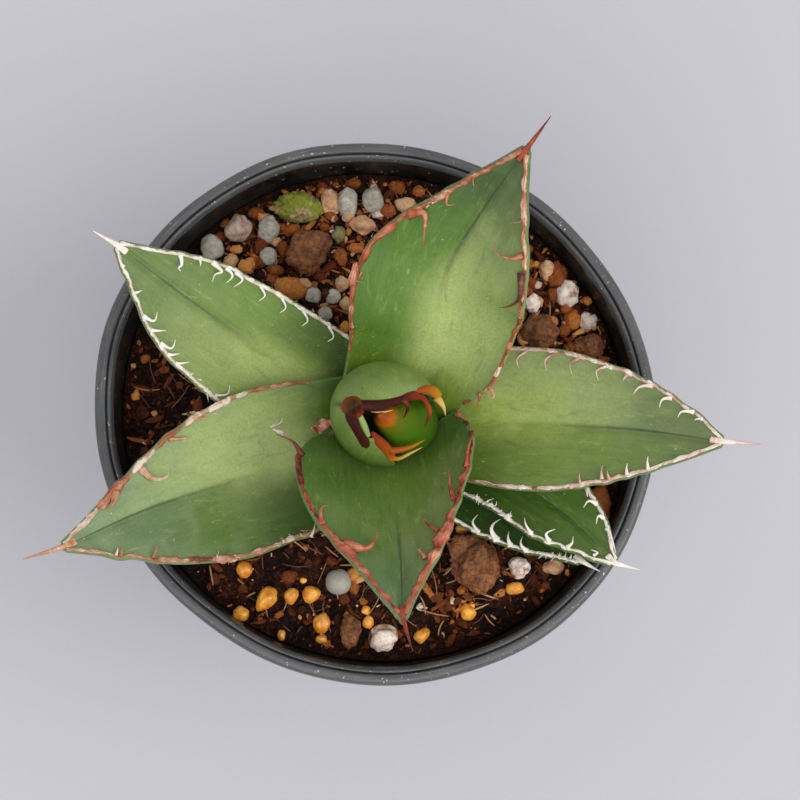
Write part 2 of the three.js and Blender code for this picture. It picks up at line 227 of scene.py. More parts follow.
def start_material(name):
    """A new material, its node tree and the sockets of its surface shader."""
    material = bpy.data.materials.new(name)
    material.use_nodes = True
    tree = material.node_tree
    return material, tree, tree.nodes["Principled BSDF"].inputs


def let_light_in(shader, weight, reach, depth):
    """Lets light soak in. reach is for red, green and blue, and depth is in millimetres."""
    shader["Subsurface Weight"].default_value = weight
    shader["Subsurface Radius"].default_value = reach
    shader["Subsurface Scale"].default_value = depth * MM


def raise_surface(tree, shader, height, strength, distance):
    """Gives the surface small bumps: height runs from 0 to 1, distance is in millimetres."""
    bump = add_node(tree, "Bump")
    bump.inputs["Strength"].default_value = strength
    bump.inputs["Distance"].default_value = distance * MM
    feed(tree, bump.inputs["Height"], height)
    feed(tree, shader["Normal"], bump.outputs[0])


def start_group(name, inputs, outputs):
    """A node group. Inputs are (name, kind, value) and outputs are (name, kind)."""
    group = bpy.data.node_groups.new(name, "ShaderNodeTree")
    for label, kind, value in inputs:
        socket = group.interface.new_socket(label, in_out="INPUT", socket_type="NodeSocket" + kind)
        if value is not None:
            socket.default_value = value
    for label, kind in outputs:
        group.interface.new_socket(label, in_out="OUTPUT", socket_type="NodeSocket" + kind)
    return group, group.nodes.new("NodeGroupInput").outputs, group.nodes.new("NodeGroupOutput").inputs


def use_group(tree, group, **values):
    """Places a node group and feeds its sockets, named in small letters."""
    made = add_node(tree, "Group")
    made.node_tree = group
    for name, value in values.items():
        feed(tree, made.inputs[name.replace("_", " ").capitalize()], value)
    return made.outputs


print("node helpers are ready")

# %% [markdown]
# Effects that several materials share
#
# Leaves, teeth and dry scraps all have fine lines along their growth. Leaves and the bud
# wear a waxy bloom. Leaves, stones and the pot carry specks of dust. Clay, pumice and
# perlite have pores. Each of these is a node group, built once and placed in each material
# with its own numbers. The groups only put out values and colours, so each material still
# shows its own surface shader.

# %% Lines along the growth
streaks, given, result = start_group(
    "growth streaks",
    [("Place", "Vector", None), ("Fineness", "Float", 2.0)],
    [("Lines", "Float"), ("Mottle", "Float")],
)
drawn_out = scaled(streaks, given["Place"], 1.0, 0.06, 1.0)
lines = noisy(streaks, drawn_out, given["Fineness"], 4.0, 0.65)
mottle = noisy(streaks, given["Place"], times(streaks, given["Fineness"], 1.6), 3.0, 0.6)
feed(streaks, result["Lines"], between(streaks, lines, 0.3, 0.7))
feed(streaks, result["Mottle"], between(streaks, mottle, 0.3, 0.7))
print("group:", streaks.name)

# %% Waxy bloom
bloom, given, result = start_group(
    "waxy bloom",
    [("Colour", "Color", (0, 0, 0, 1)), ("Wax", "Color", (1, 1, 1, 1)), ("Amount", "Float", 0.3),
     ("Place", "Vector", None)],
    [("Colour", "Color"), ("Mask", "Float")],
)
patches = between(bloom, noisy(bloom, given["Place"], 0.16, 3.0, 0.5, 0.6), 0.3, 0.72, 0.35, 1.0)
grains = between(bloom, noisy(bloom, given["Place"], 3.2, 2.0, 0.6), 0.25, 0.75, 0.75, 1.0)
wax_mask = times(bloom, times(bloom, patches, grains), given["Amount"])
feed(bloom, result["Colour"], mixed(bloom, wax_mask, given["Colour"], given["Wax"]))
feed(bloom, result["Mask"], wax_mask)
print("group:", bloom.name)

# %% Dust and specks
dust, given, result = start_group(
    "dust and specks",
    [("Colour", "Color", (0, 0, 0, 1)), ("Dust", "Color", (0.5, 0.45, 0.4, 1)),
     ("Film", "Float", 0.1), ("Specks", "Float", 0.5), ("Size", "Float", 1.0)],
    [("Colour", "Color"), ("Mask", "Float")],
)
dust_place = place_of(dust)
per_size = worked_out(dust, "DIVIDE", 1000.0, given["Size"])
film_noise = noisy(dust, dust_place, times(dust, per_size, 0.12), 4.0, 0.7)
film = times(dust, between(dust, film_noise, 0.35, 0.7), given["Film"])
speck_noise = noisy(dust, dust_place, times(dust, per_size, 1.0), 2.0, 0.5)
speck_limit = worked_out(dust, "SUBTRACT", 0.86, times(dust, given["Specks"], 0.2))
speck = between(dust, speck_noise, speck_limit, plus(dust, speck_limit, 0.05))
dust_mask = worked_out(dust, "MAXIMUM", film, speck)
feed(dust, result["Colour"], mixed(dust, dust_mask, given["Colour"], given["Dust"]))
feed(dust, result["Mask"], dust_mask)
print("group:", dust.name)

# %% Pores
pores, given, result = start_group(
    "pores",
    [("Size", "Float", 0.5), ("Share", "Float", 0.5)],
    [("Pit", "Float"), ("Height", "Float")],
)
pore_place = place_of(pores)
pore_scale = worked_out(pores, "DIVIDE", 1000.0, given["Size"])
cells = add_node(pores, "TexVoronoi")
feed(pores, cells.inputs["Vector"], pore_place)
feed(pores, cells.inputs["Scale"], pore_scale)
pit = between(pores, cells.outputs["Distance"], 0.0, given["Share"], 1.0, 0.0)
broken = between(pores, noisy(pores, pore_place, times(pores, pore_scale, 0.4), 2.0), 0.4, 0.6)
pit = times(pores, pit, broken)
rough_ground = noisy(pores, pore_place, times(pores, pore_scale, 1.7), 4.0, 0.7)
# the Pit output darkens the pores in the stone finishes: painted shade in the holes
feed(pores, result["Pit"], pit)
feed(pores, result["Height"], worked_out(pores, "SUBTRACT", rough_ground, pit))
print("group:", pores.name)

# %% [markdown]
# The floor
#
# A plain pale sheet under the pot. It is far larger than the picture, so that no edge shows
# from any side, and it isn't part of the object.

# %% Lay the floor
floor_material, tree, shader = start_material("pale paper")
paper = noisy(tree, place_of(tree), 900.0, 2.0)
feed(tree, shader["Base Color"], mixed(tree, paper, colour(181, 181, 187), colour(185, 185, 190)))
shader["Roughness"].default_value = 0.85

bpy.ops.mesh.primitive_plane_add(size=24, location=(0, 0, 0))
floor = bpy.context.object
floor.name = "floor"
floor.data.materials.append(floor_material)
print("floor across in m:", floor.dimensions.x)

# %% [markdown]
# Meshes from points
#
# The plant is made of sheets and tubes: grids of points whose rows run along a curve. A
# small collector takes such grids one after another, with the values that the shaders read,
# and turns them into one mesh at the end. Sculpting by hand would look as good, but points
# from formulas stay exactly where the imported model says.

# %% Collect grids into a mesh
class Collector:
    """Gathers points in millimetres, faces, a finish for each face and values for each point."""

    def __init__(self, *value_names):
        self.points = []
        self.faces = []
        self.finishes = []
        self.values = {name: [] for name in value_names}
        self.count = 0

    def add(self, points, faces, finish=0, **values):
        points = np.asarray(points, float).reshape(-1, 3)
        self.points.append(points)
        self.faces.extend((np.asarray(faces) + self.count).tolist())
        self.finishes.extend([finish] * len(faces))
        for name, kept in self.values.items():
            value = np.asarray(values.get(name, 0.0), float)
            width = 3 if name == "place" else 1
            kept.append(np.broadcast_to(value.reshape(-1, width), (len(points), width)))
        self.count += len(points)

    def mesh(self, name, materials, smooth):
        made = bpy.data.meshes.new(name)
        made.from_pydata((np.concatenate(self.points) * MM).tolist(), [], self.faces)
        for material in materials:
            made.materials.append(material)
        made.polygons.foreach_set("material_index", self.finishes)
        made.polygons.foreach_set("use_smooth", [smooth] * len(made.polygons))
        for label, kept in self.values.items():
            numbers = np.concatenate(kept).astype(np.float32)
            kind = "FLOAT_VECTOR" if numbers.shape[1] == 3 else "FLOAT"
            attribute = made.attributes.new(label, kind, "POINT")
            attribute.data.foreach_set("vector" if kind == "FLOAT_VECTOR" else "value", numbers.ravel())
        made.update()
        return made


def finish_piece(name, collector, materials, slot, *nodes, smooth=True):
    """Makes what was collected a piece of the object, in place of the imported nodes."""
    piece = bpy.data.objects.new(name, collector.mesh(name, materials, smooth))
    bpy.context.scene.collection.objects.link(piece)
    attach(piece, BODY)
    if nodes:
        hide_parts(*nodes)
    return piece


def grid_faces(rows, columns):
    """Quads between neighbouring rows. The last column is joined to the first."""
    row, column = np.meshgrid(np.arange(rows - 1), np.arange(columns), indexing="ij")
    after = (column + 1) % columns
    quads = (row * columns + column, row * columns + after,
             (row + 1) * columns + after, (row + 1) * columns + column)
    return np.stack([quad.ravel() for quad in quads], 1)


def unit(vectors):
    return vectors / np.linalg.norm(vectors, axis=-1, keepdims=True)


def circle(count):
    """That many angles, evenly spaced round a circle."""
    return np.arange(count) * 2 * math.pi / count


def turned_rings(radii, levels, turn, middle_x=0.0, middle_y=0.0):
    """Level rings, as a lathe would turn them: one for each radius and level."""
    levels = np.broadcast_to(np.asarray(levels, float)[:, None], (len(levels), len(turn)))
    radii = np.asarray(radii, float).reshape(len(levels), -1)
    return np.stack([middle_x + radii * np.cos(turn), middle_y + radii * np.sin(turn), levels], -1)


print("collector is ready")

# %% [markdown]
# Smooth curves and tubes
#
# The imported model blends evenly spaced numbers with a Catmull-Rom curve, which passes
# through each of them. The same rule is used here, so that the finished leaves lie where
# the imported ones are. A tube follows such a curve with rings that shrink to its end, which
# makes teeth, spines and fibres alike.

# %% Blend numbers and sweep tubes
def blend(values, t):
    """A smooth curve through evenly spaced numbers or points, read at t from 0 to 1."""
    values = np.asarray(values, float)
    before = 2 * values[:1] - values[1:2]
    after = 2 * values[-1:] - values[-2:-1]
    padded = np.concatenate([before, values, after])
    last = len(values) - 1
    place = np.clip(np.asarray(t, float), 0, 1) * last
    index = np.minimum(place.astype(int), last - 1)
    u = place - index
    if values.ndim > 1:
        u = u[..., None]
    p0, p1, p2, p3 = (padded[index + step] for step in range(4))
    return 0.5 * (2 * p1 + u * (p2 - p0 + u * (2 * p0 - 5 * p1 + 4 * p2 - p3
                                               + u * (3 * p1 - p0 - 3 * p2 + p3))))


def add_tube(collector, path, radii, sides, flat, finish, tone, seed):
    """A closed tube along a path, with a radius at each point of it. flat squeezes its height."""
    path = np.asarray(path, float)
    radii = np.broadcast_to(np.asarray(radii, float), len(path))
    ahead = unit(np.gradient(path, axis=0))
    up = np.array([0.0, 0.0, 1.0]) if abs(ahead[0][2]) < 0.9 else np.array([1.0, 0.0, 0.0])
    side = unit(np.cross(up, ahead))
    over = np.cross(ahead, side)
    turn = circle(sides)
    rings = (path[:, None]
             + radii[:, None, None] * (side[:, None] * np.cos(turn)[:, None]
                                       + flat * over[:, None] * np.sin(turn)[:, None]))
    length = np.concatenate([[0], np.cumsum(np.linalg.norm(np.diff(path, axis=0), axis=1))])
    place = np.stack(np.broadcast_arrays(np.sin(turn)[None] * 0.7, length[:, None], seed), -1)
    tones = np.repeat(np.broadcast_to(tone, len(path)), sides)
    add_rings(collector, rings, finish, tone=tones, place=place)


def add_rings(collector, rings, finish=0, **values):
    """Closed rings of points joined in order, with both ends filled. A value is one number or
    one for each point of the rings."""
    rows, sides, _ = rings.shape
    start, end = rings[0].mean(0), rings[-1].mean(0)
    points = np.concatenate([rings.reshape(-1, 3), [start, end]])
    faces = grid_faces(rows, sides).tolist()
    around = [(i, (i + 1) % sides) for i in range(sides)]
    first, last = rows * sides, rows * sides + 1
    fans = [(b, a, first) for a, b in around]
    fans += [((rows - 1) * sides + a, (rows - 1) * sides + b, last) for a, b in around]
    given = {}
    for name, value in values.items():
        value = np.asarray(value, float).reshape(-1, 3 if name == "place" else 1)
        if len(value) > 1:
            value = np.concatenate([value, value[:1], value[-1:]])
        given[name] = value
    base = collector.count
    collector.add(points, faces, finish, **given)
    collector.faces.extend([tuple(index + base for index in fan) for fan in fans])
    collector.finishes.extend([finish] * len(fans))


print("a blend of 0, 1, 4 read in the middle:", blend([0, 1, 4], 0.5))

# %% [markdown]
# The leaves, measured
#
# An agave leaf is a thick, channelled blade on a short stem. It widens to its middle and
# ends in a hard spine. Its margins carry corky strips, and on them stand flat, hooked teeth
# that curl over the blade. Points read off the midribs, margins and teeth in the photograph
# were turned into these numbers with the camera above and guessed heights, and the numbers
# were then rounded and adjusted. Each is in millimetres or is a share of the leaf:
# "middle" runs up the blade to the base of the spine, "left" and "right" are half widths
# seen from above, looking to the tip, "cup" is how far the margins rise as a share of the
# half width, and "thick" is the thickness over the midrib.
#
# A strip is (side, from, to, half widths, tone): side is 1 for left and -1 for right, from
# and to are shares of the length, and tone runs from 0 for dark new cork to 1 for bleached
# old cork. A sixth number moves a strip off the margin by so many millimetres. A tooth is
# (root radius, height, tone, places), where each place is (share of the length, share of the
# half width), from the root to the tip. "spine_tone" is the tone of the spine at its foot
# and at its end, and "crease" is the depth of the fold in the midrib. "frayed" is (side,
# from, to, count of torn fibres, tone), and "rows" is (side, from, to, count, root radius,
# tone), for small teeth that other leaves hide from above.

# %% The two leaves that stand highest
LEAVES = {}
LEAVES["leaf_south"] = {
    "middle": [(3, -6.7, 98), (3.5, -15.2, 104.5), (4, -23.2, 112.5), (4.5, -31.2, 121.5),
               (4.5, -38.7, 131)],
    "tip": (6.2, -45.1, 135),
    "spine_tone": (0.5, 0.2),
    "left": [12, 14.5, 14, 12.5, 10.5, 8.5, 5.5, 3],
    "right": [8.5, 14.6, 17, 17, 15.5, 12, 8.5, 5],
    "cup": (0.6, 0.4, 0.2),
    "thick": (6.5, 5.2, 2.6),
    "crease": (0.0, 0.0, 0.2, 0.9, 1.3),
    "strips": [
        (-1, 0.235, 0.41, (0.6, 0.75, 0.6), 0.15), (-1, 0.465, 0.54, 0.62, 0.4),
        (-1, 0.58, 0.672, (0.7, 0.8, 0.9), 0.5), (-1, 0.655, 0.75, (1.1, 1.5, 0.8), 0.58),
        (-1, 0.73, 1.0, (0.75, 0.7, 0.6), 0.55), (1, 0.13, 0.17, 0.7, 0.1),
        (1, 0.02, 0.05, 0.7, 0.45), (1, 0.07, 0.1, 0.8, 0.12), (1, 0.235, 0.27, 0.6, 0.2),
        (1, 0.185, 0.23, 0.55, 0.1), (1, 0.31, 0.46, (0.5, 0.65, 0.55), 0.35),
        (1, 0.455, 0.505, (0.8, 0.5), 0.3), (1, 0.51, 0.76, (0.5, 1.35, 1.5, 0.8), 0.58),
        (1, 0.74, 1.0, (0.9, 0.8, 0.6), 0.6),
    ],
    "teeth": [
        (0.65, 0.9, 0.05, [(0.24, -0.96), (0.2, -1.1), (0.185, -1.3)]),
        (0.6, 1.2, 0.5, [(0.583, -1.0), (0.53, -0.92), (0.487, -0.77)]),
        (1.15, 1.8, 0.58, [(0.665, -0.9), (0.69, -0.6), (0.66, -0.42), (0.58, -0.26)]),
        (0.55, 1.4, 0.35, [(0.323, 0.97), (0.25, 0.99), (0.165, 1.03)]),
        (0.5, 1.2, 0.45, [(0.47, 0.93), (0.4, 0.82), (0.34, 0.75), (0.307, 0.63)]),
        (0.5, 1.0, 0.5, [(0.6, 0.78), (0.56, 0.55), (0.485, 0.39)]),
        (0.45, 0.9, 0.5, [(0.72, 0.7), (0.69, 0.5), (0.667, 0.36)]),
    ],
}
LEAVES["leaf_north"] = {
    "middle": [(4.5, -1.2, 96), (9.5, 10.3, 102.5), (12.5, 21.8, 112), (18.5, 30.8, 122.5),
               (25, 38.3, 134)],
    "tip": (29.1, 43, 140),
    "spine_tone": (0.5, 0.16),
    "left": [11, 12.5, 14, 15.3, 14.6, 10.5, 6.8, 3.8],
    "right": [9, 10.5, 13.6, 14.8, 15.8, 14.9, 10.7, 6],
    "cup": (0.5, 0.3, 0.15),
    "thick": (6.5, 5.5, 2.6),
    "crease": (0.0, 0.1, 0.6, 1.0, 0.9),
    "strips": [
        (1, 0.67, 1.0, (0.6, 0.7, 0.55), 0.6), (1, 0.585, 0.66, (0.7, 0.85), 0.5),
        (1, 0.51, 0.585, (0.6, 0.95), 0.4), (1, 0.465, 0.512, 0.9, 0.35),
        (1, 0.42, 0.475, (0.6, 1.3), 0.62, 0.7), (1, 0.375, 0.44, (0.6, 0.9), 0.42, 0.3),
        (1, 0.34, 0.38, 0.6, 0.55), (1, 0.27, 0.315, 0.55, 0.55), (1, 0.15, 0.26, 0.35, 0.4),
        (-1, 0.7, 1.0, (0.55, 0.7, 0.6), 0.68), (-1, 0.6, 0.7, (0.6, 0.5), 0.5),
        (-1, 0.5, 0.59, 0.55, 0.6), (-1, 0.36, 0.49, 0.35, 0.55), (-1, 0.33, 0.36, 0.65, 0.6),
        (-1, 0.285, 0.335, 0.3, 0.7), (-1, 0.252, 0.288, 0.6, 0.95), (-1, 0.2, 0.228, 0.5, 0.65),
        (-1, 0.135, 0.165, 0.5, 0.2), (-1, 0.095, 0.12, 0.5, 0.5), (-1, 0.06, 0.085, 0.5, 0.7),
    ],
    "teeth": [
        (1.0, 1.6, 0.45, [(0.62, 0.97), (0.652, 0.88), (0.635, 0.7), (0.6, 0.55), (0.562, 0.44)]),
        (0.4, 0.8, 0.5, [(0.748, 0.98), (0.713, 0.76), (0.723, 0.62)]),
        (0.25, 0.5, 0.5, [(0.83, 0.95), (0.81, 0.68)]),
        (0.6, 1.3, 0.5, [(0.735, -0.95), (0.708, -0.77), (0.688, -0.52), (0.7, -0.43)]),
        (0.25, 0.4, 0.5, [(0.835, -0.97), (0.8, -0.7)]),
        (0.8, 1.5, 0.06, [(0.69, -0.95), (0.635, -1.0), (0.578, -0.9), (0.51, -0.75)]),
        (0.35, 0.8, 0.4, [(0.195, -0.99), (0.177, -1.09), (0.16, -1.18)]),
        (0.4, 0.8, 0.6, [(0.228, -1.0), (0.212, -1.15), (0.196, -1.05)]),
    ],
    "frayed": [(1, 0.66, 0.7, 5, 0.85), (1, 0.4, 0.47, 8, 0.6)],
}

# %% The leaves of the middle ring
LEAVES["leaf_southwest"] = {
    "middle": [(0, -4.7, 91), (-14, -10.2, 96), (-28, -15.2, 102), (-41, -20.2, 108.5),
               (-53.5, -26.7, 115)],
    "tip": (-60.4, -29.1, 117),
    "spine_tone": (0.72, 0.55),
    "left": [9, 11.5, 13.3, 14, 14.3, 12.8, 10.5, 6],
    "right": [11, 12.5, 14.2, 14.6, 13.2, 10.7, 7, 3.8],
    "cup": (0.4, 0.25, 0.15),
    "thick": (6.5, 5.5, 2.6),
    "crease": (0.0, 0.0, 0.5, 0.6, 0.6),
    "strips": [
        (-1, 0.865, 1.0, (0.75, 0.8, 0.5), 0.9), (-1, 0.745, 0.87, (0.8, 1.1, 0.8), 0.45),
        (-1, 0.655, 0.74, (0.7, 0.9), 0.88), (-1, 0.56, 0.65, (0.5, 0.85), 0.45),
        (-1, 0.49, 0.555, 0.7, 0.78), (-1, 0.4, 0.475, 0.8, 0.97), (-1, 0.345, 0.392, 0.6, 0.95),
        (-1, 0.27, 0.34, 0.5, 0.4), (-1, 0.15, 0.265, 0.4, 0.45), (1, 0.885, 1.0, 0.5, 0.68),
        (1, 0.8, 0.885, 0.45, 0.55), (1, 0.7, 0.8, 0.55, 0.5), (1, 0.61, 0.69, 0.75, 0.22),
        (1, 0.54, 0.605, (0.7, 1.0), 0.62, 0.3), (1, 0.44, 0.505, 0.75, 0.62),
        (1, 0.355, 0.4, 0.7, 0.92), (1, 0.31, 0.345, 0.5, 0.6), (1, 0.16, 0.3, 0.35, 0.45),
    ],
    "teeth": [
        (0.95, 0.9, 0.5, [(0.8, -0.86), (0.825, -0.7), (0.845, -0.57)]),
        (0.75, 1.5, 0.78, [(0.712, -0.88), (0.698, -0.6), (0.677, -0.46), (0.652, -0.43),
                           (0.645, -0.5)]),
        (0.4, 0.8, 0.5, [(0.61, -0.94), (0.57, -0.84), (0.545, -0.78)]),
        (0.35, 0.6, 0.6, [(0.52, -0.98), (0.478, -0.9)]),
        (0.3, 0.7, 0.92, [(0.885, 0.95), (0.872, 0.7)]),
        (0.3, 0.7, 0.5, [(0.875, 0.98), (0.862, 0.72)]),
        (0.35, 0.8, 0.5, [(0.79, 0.95), (0.76, 0.7)]),
        (0.3, 0.8, 0.95, [(0.315, 1.05), (0.29, 0.92)]),
    ],
    "frayed": [(1, 0.52, 0.61, 9, 0.7), (1, 0.33, 0.4, 6, 0.75), (-1, 0.4, 0.47, 4, 0.9)],
}
LEAVES["leaf_east"] = {
    "middle": [(6, -3.7, 91), (20.5, -2.7, 95.5), (34, -4.2, 101), (47.5, -5.7, 106.5),
               (60.5, -8.2, 112)],
    "tip": (67.2, -9, 114),
    "spine_tone": (0.8, 0.85),
    "left": [8.5, 11, 12.7, 13.2, 13.1, 11.4, 8.7, 5.2],
    "right": [8.5, 10.5, 12.2, 12.9, 12.3, 10.4, 8.3, 5.2],
    "cup": (0.4, 0.25, 0.15),
    "thick": (6.2, 5.2, 2.4),
    "crease": (0.0, 0.1, 0.8, 0.8, 0.7),
    "strips": [
        (1, 0.94, 1.0, 0.45, 0.95), (1, 0.905, 0.935, 0.5, 0.95), (1, 0.855, 0.89, 0.5, 0.9),
        (1, 0.8, 0.835, 0.5, 0.88), (1, 0.745, 0.775, 0.55, 0.82), (1, 0.675, 0.71, 0.6, 0.78),
        (1, 0.62, 0.65, 0.6, 0.85), (1, 0.573, 0.603, 0.6, 0.88), (1, 0.515, 0.568, 0.6, 0.8),
        (1, 0.45, 0.51, 0.45, 0.35), (1, 0.33, 0.44, 0.35, 0.25), (1, 0.2, 0.32, 0.3, 0.3),
        (-1, 0.935, 1.0, 0.45, 0.95), (-1, 0.86, 0.945, (0.55, 0.7, 0.5), 0.85),
        (-1, 0.785, 0.84, 0.5, 0.92), (-1, 0.715, 0.77, 0.55, 0.82),
        (-1, 0.642, 0.692, 0.6, 0.62), (-1, 0.542, 0.62, 0.65, 0.62),
        (-1, 0.473, 0.53, 0.6, 0.78), (-1, 0.43, 0.468, 0.45, 0.2), (-1, 0.35, 0.425, 0.55, 0.78),
        (-1, 0.24, 0.34, 0.4, 0.2), (-1, 0.12, 0.23, 0.3, 0.3),
    ],
    "teeth": [
        (0.35, 0.9, 0.95, [(0.93, 1.0), (0.91, 0.68)]),
        (0.45, 1.2, 0.95, [(0.9, 1.0), (0.87, 0.8), (0.858, 0.53)]),
        (0.45, 1.2, 0.92, [(0.825, 0.95), (0.805, 0.8), (0.797, 0.57)]),
        (0.5, 1.2, 0.78, [(0.765, 0.97), (0.735, 0.85), (0.715, 0.65)]),
        (0.35, 0.6, 0.7, [(0.69, 0.95), (0.68, 0.8)]),
        (0.4, 1.0, 0.95, [(0.792, -0.98), (0.787, -0.66)]),
        (0.38, 0.9, 0.85, [(0.725, -0.98), (0.723, -0.75)]),
        (0.4, 0.9, 0.55, [(0.645, -0.95), (0.643, -0.72)]),
        (0.32, 0.8, 0.55, [(0.668, -0.97), (0.662, -0.82)]),
        (0.32, 0.8, 0.55, [(0.58, -0.97), (0.575, -0.8)]),
    ],
    "rows": [(1, 0.3, 0.62, 5, 0.3, 0.5)],
}
LEAVES["leaf_northwest"] = {
    "middle": [(0.5, -2.2, 89), (-11.5, 5.3, 94), (-23.5, 11.8, 99.5), (-35, 19.3, 105),
               (-45.5, 26.8, 110)],
    "tip": (-49.8, 29.2, 111),
    "spine_tone": (0.8, 0.8),
    "left": [8, 10.5, 12.3, 13.2, 12.8, 11.4, 9.2, 5.2],
    "right": [8, 9.5, 10, 10.2, 10.2, 9.3, 7.4, 4.4],
    "cup": (0.35, 0.22, 0.12),
    "thick": (5.8, 4.8, 2.4),
    "crease": (0.0, 0.1, 0.8, 0.9, 0.7),
    "strips": [
        (-1, 0.948, 1.0, 0.45, 0.95), (-1, 0.873, 0.944, 0.5, 0.95), (-1, 0.802, 0.835, 0.5, 0.95),
        (-1, 0.752, 0.775, 0.42, 0.95), (-1, 0.7, 0.73, 0.5, 0.95), (-1, 0.655, 0.686, 0.5, 0.9),
        (-1, 0.618, 0.648, 0.5, 0.95), (-1, 0.575, 0.613, 0.55, 0.82), (-1, 0.525, 0.57, 0.5, 0.95),
        (-1, 0.44, 0.51, 0.5, 0.82), (-1, 0.385, 0.43, 0.5, 0.9), (-1, 0.32, 0.38, 0.35, 0.72),
        (-1, 0.2, 0.315, 0.35, 0.68), (1, 0.955, 1.0, 0.38, 0.95), (1, 0.902, 0.95, 0.5, 0.95),
        (1, 0.845, 0.882, 0.5, 0.95), (1, 0.785, 0.812, 0.5, 0.95), (1, 0.745, 0.768, 0.5, 0.95),
        (1, 0.69, 0.718, 0.5, 0.95), (1, 0.655, 0.68, 0.5, 0.95), (1, 0.61, 0.645, 0.5, 0.9),
        (1, 0.555, 0.608, 0.45, 0.78), (1, 0.48, 0.55, 0.4, 0.65), (1, 0.3, 0.46, 0.3, 0.5),
    ],
    "teeth": [
        (0.45, 1.2, 0.97, [(0.82, -0.97), (0.8, -0.69), (0.803, -0.56), (0.79, -0.49)]),
        (0.4, 0.9, 0.97, [(0.763, -1.0), (0.748, -0.8)]),
        (0.48, 1.2, 0.97, [(0.722, -1.0), (0.685, -0.88), (0.697, -0.76), (0.69, -0.58)]),
        (0.42, 1.0, 0.95, [(0.676, -0.98), (0.65, -0.87), (0.652, -0.68)]),
        (0.42, 1.1, 0.97, [(0.645, -0.97), (0.618, -0.92), (0.625, -0.7)]),
        (0.38, 0.5, 0.97, [(0.945, 0.95), (0.965, 1.2), (0.985, 1.45)]),
        (0.42, 0.9, 0.97, [(0.868, 1.0), (0.855, 0.7)]),
        (0.45, 1.1, 0.97, [(0.802, 1.0), (0.77, 0.84), (0.776, 0.65)]),
        (0.42, 0.9, 0.97, [(0.757, 0.98), (0.722, 0.75)]),
        (0.46, 1.1, 0.97, [(0.712, 0.98), (0.68, 0.89), (0.683, 0.72)]),
        (0.42, 0.9, 0.97, [(0.674, 1.0), (0.65, 0.84)]),
        (0.38, 0.8, 0.95, [(0.64, 1.0), (0.612, 0.85)]),
    ],
    "frayed": [(1, 0.5, 0.6, 7, 0.8)],
    "rows": [(-1, 0.3, 0.55, 4, 0.28, 0.9), (1, 0.3, 0.5, 3, 0.28, 0.6)],
}

# %% The two small leaves underneath
LEAVES["leaf_southeast"] = {
    "middle": [(5.5, -5.2, 86.5), (16.5, -9.2, 90), (26, -14.2, 93.5), (35, -20.7, 97.5),
               (42.5, -28.7, 101)],
    "tip": (47, -30.2, 102),
    "spine_tone": (0.9, 0.95),
    "left": [7.5, 9, 10.3, 10.6, 9.6, 8, 6, 3.8],
    "right": [6.5, 7, 6.8, 6.6, 6.8, 7.1, 6.2, 3.9],
    "cup": (0.35, 0.22, 0.12),
    "thick": (5, 4.4, 2.4),
    "crease": (0.0, 0.0, 0.3, 0.8, 0.7),
    "strips": [
        (1, 0.925, 1.0, 0.42, 0.95), (1, 0.87, 0.9, 0.45, 0.95), (1, 0.825, 0.857, 0.6, 0.97),
        (1, 0.77, 0.803, 0.6, 0.97), (1, 0.715, 0.745, 0.5, 0.9), (1, 0.64, 0.68, 0.5, 0.9),
        (-1, 0.863, 1.0, 0.45, 0.95), (-1, 0.81, 0.858, 0.5, 0.95), (-1, 0.728, 0.787, 0.5, 0.95),
        (-1, 0.655, 0.69, 0.5, 0.95), (-1, 0.6, 0.65, 0.4, 0.9), (-1, 0.568, 0.6, 0.45, 0.9),
        (-1, 0.53, 0.565, 0.5, 0.9), (-1, 0.42, 0.525, 0.45, 0.9), (-1, 0.33, 0.42, 0.4, 0.8),
    ],
    "teeth": [
        (0.42, 0.8, 0.97, [(0.885, 0.95), (0.93, 1.25), (0.985, 1.6)]),
        (0.5, 1.1, 0.97, [(0.842, 0.97), (0.835, 0.8), (0.85, 0.57)]),
        (0.5, 1.1, 0.97, [(0.792, 1.0), (0.772, 0.82), (0.772, 0.55)]),
        (0.35, 0.6, 0.95, [(0.736, 0.98), (0.757, 0.88)]),
        (0.46, 1.2, 0.97, [(0.835, -0.97), (0.842, -0.75), (0.823, -0.46)]),
        (0.5, 1.2, 0.97, [(0.757, -0.97), (0.733, -0.84), (0.747, -0.57)]),
        (0.42, 0.9, 0.97, [(0.676, -0.98), (0.64, -0.9), (0.612, -0.74)]),
        (0.3, 0.7, 0.97, [(0.93, -0.75), (0.935, -0.45), (0.91, -0.55)]),
    ],
    "frayed": [(-1, 0.36, 0.56, 30, 0.95)],
    "rows": [(1, 0.35, 0.66, 4, 0.4, 0.95)],
}
